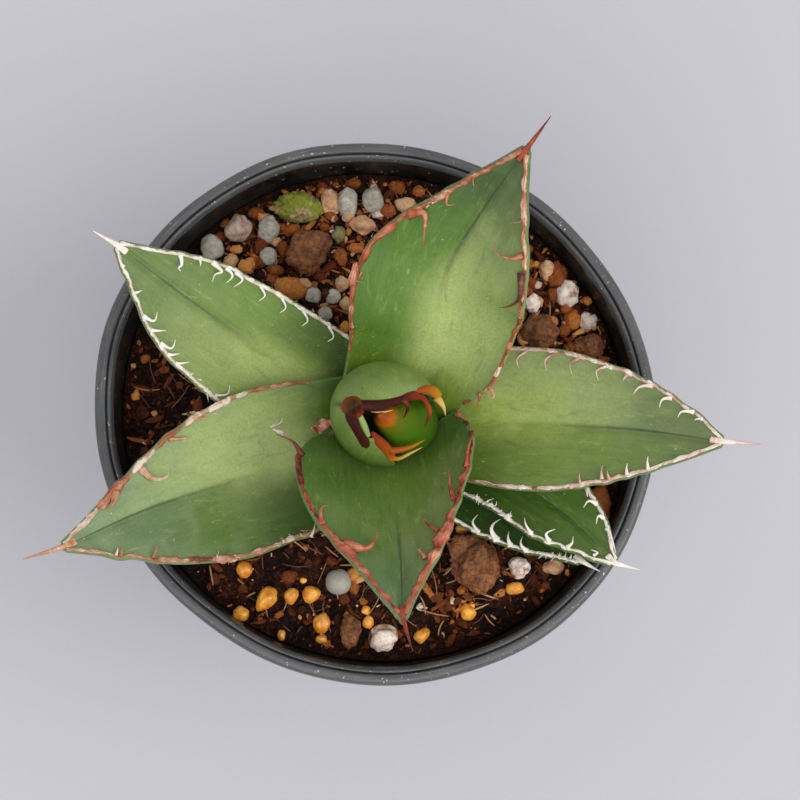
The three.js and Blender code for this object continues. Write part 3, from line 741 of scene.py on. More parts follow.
LEAVES["leaf_southeast_lower"] = {
    "middle": [(5, -6.7, 84), (14.5, -12.7, 86), (23.5, -18.2, 88.5), (31, -23.5, 91.5),
               (37, -28, 95)],
    "tip": (40.5, -30.2, 96),
    "spine_tone": (0.9, 0.95),
    "left": [6, 7, 7.5, 7.5, 7, 6, 4.8, 3],
    "right": [5.5, 6.5, 7, 7, 6.5, 5.5, 4.2, 2.6],
    "cup": (0.3, 0.2, 0.1),
    "thick": (4.2, 3.6, 2),
    "crease": (0.0, 0.0, 0.3, 0.5, 0.5),
    "strips": [
        (-1, 0.34, 0.39, 0.5, 0.92), (-1, 0.43, 0.49, 0.4, 0.95), (-1, 0.56, 0.59, 0.45, 0.97),
        (-1, 0.62, 0.65, 0.5, 0.97), (-1, 0.7, 0.74, 0.5, 0.97), (-1, 0.77, 1.0, 0.45, 0.92),
        (1, 0.78, 1.0, 0.4, 0.92), (1, 0.6, 0.76, 0.35, 0.9),
    ],
    "teeth": [
        (0.42, 1.0, 0.97, [(0.475, -0.98), (0.43, -0.85), (0.428, -0.56)]),
        (0.75, 1.5, 0.97, [(0.572, -1.0), (0.53, -0.84), (0.52, -0.62), (0.532, -0.36)]),
        (0.55, 1.1, 0.97, [(0.642, -1.0), (0.618, -0.83), (0.598, -0.58)]),
        (0.55, 1.1, 0.97, [(0.723, -1.0), (0.69, -0.89), (0.667, -0.53)]),
    ],
    "frayed": [(-1, 0.77, 0.98, 22, 0.92)],
    "rows": [(1, 0.4, 0.78, 4, 0.4, 0.95)],
}
print("leaves:", len(LEAVES), "teeth:", sum(len(leaf["teeth"]) for leaf in LEAVES.values()))

# %% [markdown]
# The shape of a blade
#
# A blade could be modelled by hand and bent into place. Here it is a closed loop of points
# swept along the middle line: a shallow channel on top, a round margin, and a swollen
# underside. The channel has a sharp crease near the tip, as leaves have that were pressed
# together in the bud. Where a tooth stands, the margin swells a little, so that the outline
# runs in soft waves from tooth to tooth.

# %% Sweep a blade
EDGE_RADIUS = 0.65
SPINE_RADIUS = 1.1
BLADE_ROWS = 110
CREASE_WIDTH, CREASE_SHARE = 0.8, 0.55
TOOTH_SWELL, TOOTH_SPREAD = 0.35, 1.5
MARGIN_TURN = np.radians([60, 25, -10, -45, -75])
LEAF_VALUES = ("along", "across", "below", "tone", "place")
blade_columns = np.unique(np.round([*np.linspace(-1, 1, 41), *np.linspace(-0.15, 0.15, 13)], 3))
under_columns = np.linspace(0.96, -0.96, 25)


def blade_frame(leaf, t):
    """The middle line, the direction to the left and the normal, at places t along a leaf."""
    step = 0.002
    middle = blend(leaf["middle"], t)
    before, after = np.maximum(t - step, 0), np.minimum(t + step, 1)
    ahead = unit(blend(leaf["middle"], after) - blend(leaf["middle"], before))
    left = unit(np.cross((0.0, 0.0, 1.0), ahead))
    return middle, left, np.cross(ahead, left)


def leaf_length(leaf):
    """The length of the middle line in millimetres."""
    line = blend(leaf["middle"], np.linspace(0, 1, 60))
    return np.linalg.norm(np.diff(line, axis=0), axis=1).sum()


def half_width(leaf, side, t):
    """Half width of a leaf on one side, with a soft swelling at the root of each tooth."""
    width = blend([*leaf["left" if side > 0 else "right"], SPINE_RADIUS], t)
    for _, _, _, places in leaf["teeth"]:
        root, across = places[0]
        if across * side > 0:
            width = width + TOOTH_SWELL * np.exp(-((t - root) * leaf["length"] / TOOTH_SPREAD) ** 2)
    return width


def blade_point(leaf, t, k, lift=0.0):
    """Points of the upper face: t along the leaf, k across from -1 (right) to 1 (left)."""
    t, k = np.broadcast_arrays(np.asarray(t, float), np.asarray(k, float))
    middle, left, normal = blade_frame(leaf, t)
    width = np.where(k > 0, half_width(leaf, 1, t), half_width(leaf, -1, t))
    edge = np.minimum(EDGE_RADIUS, 0.5 * width)
    across = k * (width - edge)
    rise = blend(leaf["cup"], t) * np.abs(across) * np.minimum(np.abs(k), 1) ** 0.6
    crease = blend(leaf["crease"], t) * CREASE_SHARE * np.exp(-(across / CREASE_WIDTH) ** 2)
    height = rise - crease + lift
    return middle + left * across[..., None] + normal * height[..., None]


def add_blade(collector, leaf):
    """The green body of a leaf, as closed loops of points from its base to its spine."""
    rows = []
    marks = []
    for t in np.linspace(0, 1, BLADE_ROWS) ** 0.95:
        upper = blade_point(leaf, t, blade_columns)
        _, left, normal = blade_frame(leaf, np.array(t))
        margins = []
        for side, corner in ((1, upper[-1]), (-1, upper[0])):
            edge = min(EDGE_RADIUS, 0.5 * float(half_width(leaf, side, t)))
            margins.append(corner + np.outer(edge * np.cos(MARGIN_TURN), left * side)
                           + np.outer(edge * np.sin(MARGIN_TURN) - edge, normal))
        swell = (blend(leaf["thick"], t) - 2 * EDGE_RADIUS) * np.sqrt(1 - under_columns ** 2)
        swell = (swell * (1 - 0.7 * t ** 6) + 2 * EDGE_RADIUS)[:, None] * normal
        lower = blade_point(leaf, t, under_columns) - swell
        rows.append(np.concatenate([upper, margins[0], lower, margins[1][::-1]]))
        margin = np.ones(len(MARGIN_TURN))
        across = np.concatenate([blade_columns, margin, under_columns, -margin])
        below = np.concatenate([np.zeros_like(blade_columns), margin / 2,
                                np.ones_like(under_columns), margin / 2])
        wide = np.where(across > 0, half_width(leaf, 1, t), half_width(leaf, -1, t))
        place = np.stack([across * wide, np.full(len(across), t * leaf["length"]),
                          below * 3 + leaf["seed"]], 1)
        marks.append((np.full(len(across), t), across, below, place))
    along, across, below, place = (np.concatenate(part) for part in zip(*marks))
    add_rings(collector, np.array(rows), 0, along=along, across=across, below=below, place=place)


for number, leaf in enumerate(LEAVES.values()):
    leaf["length"] = leaf_length(leaf)
    leaf["seed"] = 7.3 * number
print("lengths in mm:", [round(leaf["length"]) for leaf in LEAVES.values()])

# %% [markdown]
# Cork strips, teeth and spines
#
# On the margin lies a strip of cork, broken into pads on some leaves, and each pad carries
# a tooth. The pads could be painted on, but seen from the side they stand proud of the leaf,
# so each is a flattened, uneven tube that is half sunk in the margin. The teeth are thin
# tubes with a broad root, and they rise from the margin and bend over the blade.

# %% Grow strips, teeth and spines
STRIP_SHARE = 0.66
STRIP_FLATNESS = 0.62
STRIP_STEP = 0.3
STRIP_TURN = circle(12)


def add_strip(collector, leaf, side, start, end, width, tone, out=0.0):
    """A pad of cork on one margin. out moves it off the margin, in millimetres."""
    length = (end - start) * leaf["length"]
    count = max(7, int(length / STRIP_STEP))
    s = np.linspace(0, 1, count)
    t = start + (end - start) * s
    corner = blade_point(leaf, t, float(side))
    _, left, normal = blade_frame(leaf, t)
    outward = left * side
    waves = np.array([noise.noise(Vector((value * leaf["length"] * 0.55, side * 5, leaf["seed"])))
                      for value in t])
    ripples = np.array([noise.noise(Vector((value * leaf["length"] * 1.7, side * 9, leaf["seed"])))
                        for value in t])
    ends = np.sqrt(np.clip(1 - np.abs(2 * s - 1) ** max(2.5, length), 0, 1)) + 0.03
    if end > 0.99:
        ends = np.where(s > 0.5, 1.0, ends)
    half = blend(width if np.ndim(width) else [width, width], s)
    half = STRIP_SHARE * half * ends * (1 + 0.5 * waves + 0.4 * ripples)
    centre = corner + outward * (out - 0.3 * half + 0.12 + 0.2 * ripples)[:, None]
    centre = centre + normal * (0.12 * half + 0.18 * waves)[:, None]
    lumps = 1 + 0.16 * np.sin(3 * STRIP_TURN[None] + 9 * waves[:, None] + 2 * s[:, None] * length)
    lumps = lumps + 0.1 * np.sin(5 * STRIP_TURN[None] - 14 * ripples[:, None])
    sideways = outward[:, None] * np.cos(STRIP_TURN)[:, None]
    upwards = STRIP_FLATNESS * normal[:, None] * np.sin(STRIP_TURN)[:, None]
    rings = centre[:, None] + (half[:, None] * lumps)[..., None] * (sideways + upwards)
    place = np.stack(np.broadcast_arrays(1.2 * np.cos(STRIP_TURN)[None], (t * leaf["length"])[:, None],
                                         leaf["seed"] + side), -1)
    tones = np.repeat(np.clip(tone + 0.22 * waves, 0, 1), len(STRIP_TURN))
    add_rings(collector, rings, 1, tone=tones, place=place)


def add_tooth(collector, leaf, root, height, tone, places):
    """A hooked tooth that follows places on the blade, from its broad root to its tip."""
    places = np.array(places, float)
    s = np.linspace(0, 1, 16)
    way = blend(places, s) if len(places) > 2 else places[0] + np.outer(s, places[1] - places[0])
    lift = 0.15 + height * np.sin(s * 2.2) / math.sin(2.0)
    path = blade_point(leaf, way[:, 0], way[:, 1], lift)
    radii = root * (0.62 * (1 - s) ** 1.1 + 0.38 * np.exp(-7 * s)) + 0.06
    tones = np.clip(tone + 0.15 * s, 0, 1)
    add_tube(collector, path, radii, 8, 0.75, 1, tones, leaf["seed"] + places[0][0] * 40)


def add_spine(collector, leaf):
    """The hard end spine, which runs on from the middle line."""
    start = blend(leaf["middle"], 0.965)
    end = np.array(leaf["tip"], float)
    _, _, normal = blade_frame(leaf, np.array(1.0))
    bend = blend(leaf["middle"], 1.0) - 0.35 * normal
    s = np.linspace(0, 1, 26)
    path = blend([start - 0.7 * normal, bend, 0.5 * (bend + end) - 0.2 * normal, end], s)
    radii = 0.78 * (1 - s) ** 1.15 + 0.07
    foot_tone, end_tone = leaf["spine_tone"]
    add_tube(collector, path, radii, 10, 0.9, 1, foot_tone + (end_tone - foot_tone) * s, leaf["seed"])


def add_frayed(collector, leaf, side, start, end, count, tone, chance):
    """Torn fibres and crumbs of cork along a margin."""
    for _ in range(count):
        t = chance.uniform(start, end)
        k = side * chance.uniform(0.93, 1.04)
        reach = chance.uniform(0.4, 1.5)
        foot = blade_point(leaf, np.array(t), np.array(k), 0.1)
        way = chance.normal(size=3) * (1, 1, 0.6)
        s = np.linspace(0, 1, 6)
        bend = chance.normal(size=3) * 0.4
        path = foot + np.outer(s, unit(way) * reach) + np.outer(s ** 2, bend)
        add_tube(collector, path, (1 - s) * chance.uniform(0.12, 0.3) + 0.03, 5, 1.0, 1,
                 tone + chance.uniform(-0.15, 0.1), chance.uniform(0, 50))


def add_row_of_teeth(collector, leaf, side, start, end, count, root, tone, chance):
    """Small teeth where other leaves hide the margin from above."""
    for t in np.linspace(start, end, count):
        t = t + chance.uniform(-0.01, 0.01)
        add_strip(collector, leaf, side, t - 0.02, t + 0.02, root, tone)
        places = [(t, side * 0.98), (t - 0.025, side * 0.86), (t - 0.02, side * 0.72)]
        add_tooth(collector, leaf, root, 0.9, tone, places)


print("growers are ready")

# %% [markdown]
# The skin of a leaf
#
# The leaf is yellow green at its base, fresh green in its middle and greyer towards the
# tip, because the wax gets thicker there. Fine pale lines run along it, the skin has a
# grain of about a third of a millimetre, and rubbed spots shine through the wax. Light and
# shade are painted into the skin as well: the pale heart of the lower blade is partly the
# leaf's own paler tissue and partly a painted highlight, and painted shade darkens the
# margins, the fold of the midrib, the foot and the flank of the darker half. The base
# colours could be painted by hand. Here they come from where a point lies along and across
# the leaf, which each mesh stores, so they follow the leaf however it bends.

# %% Leaf skin
def leaf_material(name, base, pale, left, right, tip, wax_amount, foot_shade_amount):
    """Skin in a leaf's colours: foot, pale heart with a painted highlight, left half, right half and
    tip.
    """
    material, tree, shader = start_material(name)
    along, across = stored(tree, "along"), stored(tree, "across")
    place = stored(tree, "place", "Vector")
    aside = worked_out(tree, "ABSOLUTE", across)
    grain = use_group(tree, streaks, place=place, fineness=1.3)
    drift = plus(tree, noisy(tree, place, 0.1, 3.0, 0.6), -0.5)
    wander = plus(tree, along, times(tree, drift, 0.4))
    wide = plus(tree, aside, times(tree, drift, 0.5))
    halves = mixed(tree, between(tree, across, -0.1, 0.1), right, left)
    # the pale heart is partly the leaf's own paler tissue and partly a painted highlight; it leans to
    # the paler half
    heart = times(tree, between(tree, wander, 0.66, 0.22), between(tree, wide, 0.9, 0.1))
    pale_side = -1 if sum(right) > sum(left) else 1
    lean = between(tree, times(tree, across, pale_side), -0.55, 0.15, 0.15, 1.0)
    skin = mixed(tree, times(tree, heart, lean), halves, pale)
    skin = mixed(tree, between(tree, wander, 0.5, 0.98), skin, tip)
    skin = mixed(tree, between(tree, wander, 0.3, 0.06), skin, base)
    # painted shade along the margins, which darken towards the tip colour
    edge = times(tree, between(tree, wide, 0.7, 1.1), 0.35)
    skin = mixed(tree, edge, skin, tip)
    # fine pale lines, dark mottle and brushed patches
    skin = mixed(tree, times(tree, grain["Lines"], 0.1), skin, colour(150, 172, 84))
    skin = mixed(tree, times(tree, grain["Mottle"], 0.2), skin, colour(40, 72, 8))
    brushed = noisy(tree, scaled(tree, place, 1.0, 0.3, 1.0), 0.55, 4.0, 0.7, 0.8)
    skin = mixed(tree, between(tree, brushed, 0.52, 0.74, 0.0, 0.3), skin, colour(36, 70, 12))
    skin = mixed(tree, between(tree, brushed, 0.46, 0.24, 0.0, 0.3), skin, colour(172, 190, 116))
    # wax, then painted shade in the fold of the midrib, at the foot and up the flank of the darker half
    waxy = times(tree, between(tree, along, 0.1, 0.95, 0.45, 1.25), wax_amount)
    waxed = use_group(tree, bloom, colour=skin, wax=WAX, amount=waxy, place=place)
    fold = times(tree, noisy(tree, place, 0.35, 3.0), 0.1)
    crease = times(tree, between(tree, aside, fold, 0.0), between(tree, along, 0.3, 0.75, 0.0, 0.75))
    skin = mixed(tree, crease, waxed["Colour"], colour(38, 62, 40))
    painted_foot_shade = between(tree, along, 0.02, 0.24, foot_shade_amount, 0.0)
    skin = mixed(tree, painted_foot_shade, skin, colour(40, 60, 8))
    painted_flank_shade = times(tree, between(tree, wander, 0.2, 0.52, foot_shade_amount * 1.3, 0.0),
                  between(tree, times(tree, across, pale_side), 0.0, -0.5))
    skin = mixed(tree, painted_flank_shade, skin, colour(34, 62, 4))
    # the paler underside, and old rub marks
    under = times(tree, stored(tree, "below"), 0.6)
    skin = mixed(tree, under, skin, colour(104, 130, 76))
    rubbed = noisy(tree, scaled(tree, place, 1.0, 0.45, 1.0), 0.8, 4.0, 0.75, 1.5)
    scars = times(tree, between(tree, rubbed, 0.63, 0.72), 0.4)
    skin = mixed(tree, scars, skin, colour(184, 194, 150))
    skin = use_group(tree, dust, colour=skin, dust=colour(196, 196, 160), film=0.0, specks=0.6, size=0.5)
    feed(tree, shader["Base Color"], skin["Colour"])
    feed(tree, shader["Roughness"], plus(tree, times(tree, waxed["Mask"], 0.35), 0.4))
    shader["Specular IOR Level"].default_value = 0.28
    let_light_in(shader, 0.1, (0.6, 0.9, 0.1), 1.2)
    height = plus(tree, times(tree, grain["Lines"], 0.5), times(tree, grain["Mottle"], 0.5))
    raise_surface(tree, shader, height, 0.4, 0.09)
    return material


WAX = colour(150, 166, 124)
SKIN_COLOURS = {
    # foot, pale heart with painted highlight, left half, right half, tip, wax, painted shade at the foot
    "leaf_south": ((58, 90, 10), (92, 126, 34), (112, 128, 70), (82, 112, 44), (74, 106, 66), 0.26,
                   0.3),
    "leaf_north": ((104, 130, 12), (188, 202, 124), (68, 110, 18), (148, 166, 100), (46, 68, 36), 0.2,
                   0.1),
    "leaf_southwest": ((70, 108, 2), (172, 184, 120), (68, 98, 14), (142, 160, 90), (92, 114, 88),
                       0.32, 0.5),
    "leaf_east": ((112, 138, 34), (160, 172, 84), (138, 152, 92), (100, 124, 44), (86, 102, 60), 0.22,
                  0.2),
    "leaf_northwest": ((32, 70, 0), (164, 178, 100), (126, 144, 74), (96, 126, 40), (82, 106, 50),
                       0.18, 0.55),
    "leaf_southeast": ((24, 54, 0), (44, 76, 2), (58, 92, 14), (44, 76, 4), (62, 90, 22), 0.08, 0.5),
    "leaf_southeast_lower": ((10, 40, 4), (20, 54, 10), (24, 58, 14), (22, 56, 12), (32, 66, 22), 0.06,
                             0.5),
}
SKINS = {}
for name, (*shades, wax_amount, shade_at_foot) in SKIN_COLOURS.items():
    SKINS[name] = leaf_material("skin_of_" + name, *[colour(*shade) for shade in shades],
                                wax_amount, shade_at_foot)
print("skins:", len(SKINS))

# %% [markdown]
# Cork and horn
#
# The strips, teeth and spines are dead tissue. New, they are dark red, they dry to
# terracotta and then bleach to grey white. A value stored with each strip and tooth says
# how far it has come, and a colour ramp turns that into the leaf's own range of colours.
# Fine fibres run along all of them, so the shared streaks are used again.

# %% Cork
def cork_material(name, newest, young, old, bleached):
    """Dead tissue whose stored tone runs from newest to bleached."""
    material, tree, shader = start_material(name)
    place = stored(tree, "place", "Vector")
    grain = use_group(tree, streaks, place=place, fineness=3.2)
    blotch = plus(tree, noisy(tree, place, 0.7, 3.0), -0.5)
    age = plus(tree, stored(tree, "tone"), times(tree, blotch, 0.9))
    age = plus(tree, age, times(tree, plus(tree, grain["Lines"], -0.5), 0.3))
    bark = colour_ramp(tree, age, [(0.05, *newest), (0.38, *young), (0.68, *old), (0.95, *bleached)])
    cracks = between(tree, grain["Lines"], 0.12, 0.0)
    bark = mixed(tree, times(tree, cracks, 0.4), bark, colour(*newest))
    feed(tree, shader["Base Color"], bark)
    feed(tree, shader["Roughness"], between(tree, age, 0.0, 0.9, 0.34, 0.6))
    shader["Specular IOR Level"].default_value = 0.4
    raise_surface(tree, shader, grain["Lines"], 0.55, 0.14)
    return material


IVORY = ((126, 66, 44), (186, 150, 134), (222, 206, 192), (240, 234, 222))
CORK_COLOURS = {
    # newest, young, old and bleached cork
    "leaf_south": ((70, 14, 10), (146, 58, 36), (180, 104, 78), (216, 170, 134)),
    "leaf_north": ((62, 26, 24), (160, 72, 34), (190, 128, 98), (228, 204, 180)),
    "leaf_southwest": ((84, 36, 24), (156, 84, 50), (186, 136, 104), (226, 208, 188)),
    "leaf_east": ((104, 34, 26), (176, 112, 92), (212, 174, 160), (238, 226, 212)),
    "leaf_northwest": IVORY,
    "leaf_southeast": IVORY,
    "leaf_southeast_lower": IVORY,
}
CORKS = {name: cork_material("cork_of_" + name, *shades) for name, shades in CORK_COLOURS.items()}
print("corks:", len(CORKS))

# %% [markdown]
# Put the leaves together
#
# On the plant a leaf, its cork, its teeth and its spine have grown as one, so each leaf is
# one mesh with two materials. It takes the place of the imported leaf.

# %% Build the leaves
chance = np.random.RandomState(11)
for name, leaf in LEAVES.items():
    grown = Collector(*LEAF_VALUES)
    add_blade(grown, leaf)
    for side in (-1, 1):
        add_strip(grown, leaf, side, 0.22, 1.0, 0.42, leaf["spine_tone"][0] - 0.15)
    for strip in leaf["strips"]:
        add_strip(grown, leaf, *strip)
    for tooth in leaf["teeth"]:
        add_tooth(grown, leaf, *tooth)
    for row in leaf.get("rows", []):
        add_row_of_teeth(grown, leaf, *row, chance)
    for frayed in leaf.get("frayed", []):
        add_frayed(grown, leaf, *frayed, chance)
    add_spine(grown, leaf)
    slot = "leaf_dark" if name.startswith("leaf_southeast") else "leaf_green"
    piece = finish_piece(name + "_grown", grown, [SKINS[name], CORKS[name]], slot, name)
    print(piece.name, "faces:", len(piece.data.polygons))

# %% [markdown]
# The bud
#
# In the middle stands a young leaf that is still rolled up. It wraps round the next one,
# and its margins have only just formed: they are smooth, glossy and run from maroon at the
# tip through red and orange to gold at the sides. The leaf is a curved sheet from a ring on
# the crown to its margin. Bending a flat sheet with a modifier would do it as well, but the
# place of the margin, which everyone looks at, would be harder to set.

# %% Roll the outer bud leaf
BUD_MIDDLE = (1.4, -2.4)
BUD_FOOT = 97.5
BUD_RADIUS = 9.25
BUD_WALL = (2.6, 1.3)  # thickness at the foot and at the margin
bud_margin = [
    # angle round the crown in degrees, then the margin's place in millimetres
    (14, 11.2, -0.8, 112.5), (38, 8.9, 0.0, 115.8), (64, 5.7, -1.1, 118.9), (94, 2.6, -2.5, 121.9),
    (126, -0.6, -3.3, 124.5), (160, -3.2, -3.4, 126.3), (190, -4.2, -5.2, 125.8),
    (212, -3.1, -7.3, 123.5), (232, -1.6, -9.0, 120.6), (250, 0.4, -8.8, 118),
    (266, 2.2, -9.9, 115.2), (282, 3.3, -11.6, 112),
]


def bud_sheet(t, swing):
    """A point of the outer face: t runs round the bud, swing from its foot to its margin."""
    angle, x, y, z = np.moveaxis(blend(bud_margin, t), -1, 0)
    angle = np.radians(angle)
    out = np.stack([np.cos(angle), np.sin(angle), 0 * angle], -1)
    foot = np.array([*BUD_MIDDLE, BUD_FOOT]) + out * BUD_RADIUS
    share, rise = np.cos(swing)[..., None], np.sin(swing)[..., None]
    plan = np.stack([x, y, z], -1) * (1 - share) + foot * share
    height = foot[..., 2:] * (1 - rise) + z[..., None] * rise
    point = np.concatenate([plan[..., :2], height], -1)
    return point + out * 0.55 * np.sin(2 * swing)[..., None], out


def build_bud_leaf(collector):
    """The rolled leaf as closed loops: up its outer face, over its margin and down inside."""
    around, levels = 150, 46
    t = np.repeat(np.linspace(0, 1, around)[:, None], levels, 1)
    share = np.repeat(np.linspace(0, 1, levels)[None] ** 0.8, around, 0)
    swing = share * math.pi / 2
    outer, out = bud_sheet(t, swing)
    wall = (BUD_WALL[0] + (BUD_WALL[1] - BUD_WALL[0]) * share)[..., None]
    rise = np.sin(swing)[..., None]
    inner = outer - out * wall * np.sqrt(1 - 0.8 * rise ** 2) - (0, 0, 0.8) * wall * rise
    half = 0.5 * wall[:, -1:]
    lip = [0.5 * (outer[:, -1:] + inner[:, -1:]) - out[:, -1:] * half * x + (0, 0, 1) * half * z
           for x, z in ((-0.1, 0.62), (0.3, 0.6), (0.65, 0.3))]
    loops = np.concatenate([outer, *lip, inner[:, ::-1]], 1)
    mark = np.concatenate([share, np.ones((around, 3)), share[:, ::-1]], 1)
    below = np.concatenate([np.zeros((around, levels)), np.full((around, 3), 0.5),
                            np.ones((around, levels))], 1)
    spread = np.repeat(np.linspace(0, 1, around)[:, None], mark.shape[1], 1)
    place = np.stack([spread * 42, mark * 22, below * 5], -1)
    add_rings(collector, loops, 0, along=mark, across=2 * spread - 1, below=below, place=place)


def add_horn(collector, path, radii, tones, flat, finish=1):
    """A smooth horny ridge or tooth through places in millimetres."""
    s = np.linspace(0, 1, 28)
    thick = np.maximum(blend(radii, s), 0.05)
    add_tube(collector, blend(path, s), thick, 12, flat, finish, blend(tones, s), 3.0)


print("the margin ends at:", bud_margin[0][1:], bud_margin[-1][1:])

# %% Horn of the bud: ridges and teeth
BUD_HORN = [
    # path, half widths, tones from 0 (maroon) to 1 (cream), flatness
    ([(-3.4, -3.6, 126.1), (-2.0, -3.5, 125.3), (0.2, -3.4, 123.9), (2.4, -2.7, 121.9),
      (4.3, -1.9, 120.1), (5.7, -1.2, 118.7), (6.9, -0.8, 117.4), (8.2, -0.9, 116)],
     [0.9, 0.95, 1.0, 0.8, 0.72, 0.85, 0.9, 0.5],
     [0.12, 0.06, 0.06, 0.08, 0.14, 0.25, 0.33, 0.4], 0.62),
    ([(7.4, -0.9, 116.9), (8.3, -1.2, 116.1), (9.1, -2.2, 115.2), (9.5, -3.2, 114.6),
      (9.3, -4.4, 114.0), (8.6, -5.9, 113)],
     [0.7, 0.55, 0.42, 0.4, 0.28, 0.05], [0.3, 0.34, 0.42, 0.5, 0.3, 0.2], 0.8),
    ([(6.6, -0.3, 117.6), (7.7, 0.1, 116.9), (9.0, 0.4, 115.8), (10.2, 0.2, 114.4),
      (11.1, -0.5, 113)],
     [0.4, 0.5, 0.7, 0.95, 0.8], [0.4, 0.52, 0.6, 0.72, 0.8], 0.6),
    ([(10.6, -0.6, 113.3), (11.3, -1.3, 112.7), (12.0, -2.3, 111.7), (12.4, -3.6, 110.2)],
     [0.8, 0.62, 0.34, 0.05], [0.8, 0.95, 1.0, 0.9], 0.7),
    ([(4.4, -1.9, 120.2), (5.3, -2.4, 120.3), (5.6, -3.4, 119.5), (4.9, -5.0, 118.2)],
     [0.55, 0.42, 0.3, 0.05], [0.1, 0.3, 0.15, 0.15], 0.8),
    ([(-3.9, -4.4, 126.2), (-4.2, -5.4, 125.7), (-3.4, -6.9, 124.2), (-2.4, -8.4, 122),
      (-1.7, -9.4, 120.4), (-1.3, -9.9, 119.5)],
     [0.85, 0.85, 0.8, 0.8, 0.85, 0.5], [0.1, 0.06, 0.05, 0.05, 0.08, 0.12], 0.65),
    ([(-0.6, -7.4, 119.6), (-0.1, -8.0, 118.8), (0.7, -8.8, 117.7), (1.7, -9.6, 116),
      (2.5, -10.5, 114.2), (3.0, -11.6, 112.3)],
     [0.3, 0.6, 0.85, 0.9, 0.85, 0.6], [0.3, 0.36, 0.42, 0.5, 0.58, 0.72], 0.62),
    ([(2.6, -10.2, 114.6), (4.7, -9.9, 114.2), (6.6, -9.2, 113.2), (8.7, -8.0, 112)],
     [0.75, 0.5, 0.34, 0.05], [0.52, 0.6, 0.68, 0.78], 0.8),
    ([(3.0, -11.3, 112.6), (4.3, -11.3, 112.6), (6.1, -10.4, 112.3), (8.3, -9.2, 111.2)],
     [0.5, 0.36, 0.26, 0.05], [0.7, 0.82, 0.9, 0.9], 0.8),
    ([(-0.7, -4.3, 123.2), (1.2, -4.3, 122.3), (3.0, -3.8, 120.9)],
     [0.1, 0.17, 0.08], [0.9, 0.97, 0.9], 0.8),
]
pale_fold = ([(-2.7, -4.9, 124.3), (-1.9, -6.7, 122.9), (-1.2, -8.3, 120.9)], [0.5, 0.62, 0.5])
spine_foot, spine_top = (-3.7, -3.75, 124.6), (-3.3, -4.6, 132.6)
BUD_SPINE_RADIUS = 1.95

bud_outer = Collector(*LEAF_VALUES)
build_bud_leaf(bud_outer)
for path, radii, tones, flatness in BUD_HORN:
    add_horn(bud_outer, path, radii, tones, flatness)
add_horn(bud_outer, pale_fold[0], pale_fold[1], (0.5, 0.5, 0.5), 0.6, finish=2)
s = np.linspace(0, 1, 24)
spine_path = np.array(spine_foot) + np.outer(s, np.subtract(spine_top, spine_foot))
add_tube(bud_outer, spine_path, BUD_SPINE_RADIUS * (1 - s) ** 1.35 + 0.13, 20, 1.0, 1,
         0.44 - 0.36 * np.minimum(s * 2.0, 1), 3.0)
print("horn ridges and teeth on the bud:", len(BUD_HORN))

# %% [markdown]
# The finishes of the bud
#
# The skin is the leaf skin again, in the bud's own paler colours. The new margins differ
# from old cork: they are smooth and let a little light through, so they have their own
# material with a thin coat. The inner leaf is a closed spindle whose tip is an orange thorn.

# %% Finish the bud
def horn_material(name):
    material, tree, shader = start_material(name)
    place = stored(tree, "place", "Vector")
    blotch = plus(tree, noisy(tree, place, 0.5, 2.0), -0.5)
    age = plus(tree, stored(tree, "tone"), times(tree, blotch, 0.16))
    stops = [(0.0, 34, 6, 6), (0.15, 66, 18, 12), (0.36, 124, 42, 18),
             (0.58, 152, 72, 10), (0.78, 164, 116, 20), (0.98, 200, 172, 108)]
    feed(tree, shader["Base Color"], colour_ramp(tree, age, stops))
    shader["Roughness"].default_value = 0.42
    shader["Specular IOR Level"].default_value = 0.14
    shader["Coat Weight"].default_value = 0.03
    shader["Coat Roughness"].default_value = 0.1
    let_light_in(shader, 0.15, (1.0, 0.35, 0.1), 1.0)
    raise_surface(tree, shader, noisy(tree, place, 3.0), 0.2, 0.08)
    return material


bud_skin = leaf_material("skin_bud", colour(70, 98, 12), colour(96, 126, 36), colour(98, 126, 46),
                         colour(104, 130, 52), colour(108, 128, 56), 0.2, 0.2)
bud_horn = horn_material("horn_bud")
fold_skin, tree, shader = start_material("pale_fold")
shader["Base Color"].default_value = colour(128, 150, 84)
shader["Roughness"].default_value = 0.5
finish_piece("bud_outer_rolled", bud_outer, [bud_skin, bud_horn, fold_skin], "bud_green",
             "bud_outer_leaf")

inner_skin, tree, shader = start_material("skin_inner")
place = stored(tree, "place", "Vector")
height = stored(tree, "tone")
spots = times(tree, plus(tree, noisy(tree, place, 0.35, 3.0), -0.5), 0.12)
fresh = colour_ramp(tree, plus(tree, height, spots), [
    (0.0, 30, 56, 10), (0.35, 56, 92, 8), (0.7, 70, 104, 8),
    (0.84, 96, 96, 8), (0.88, 164, 84, 4), (0.97, 138, 60, 6)])
feed(tree, shader["Base Color"], fresh)
shader["Roughness"].default_value = 0.45
shader["Specular IOR Level"].default_value = 0.25
let_light_in(shader, 0.15, (0.6, 0.9, 0.1), 1.5)
raise_surface(tree, shader, noisy(tree, scaled(tree, place, 1.0, 0.2, 1.0), 1.2), 0.3, 0.1)

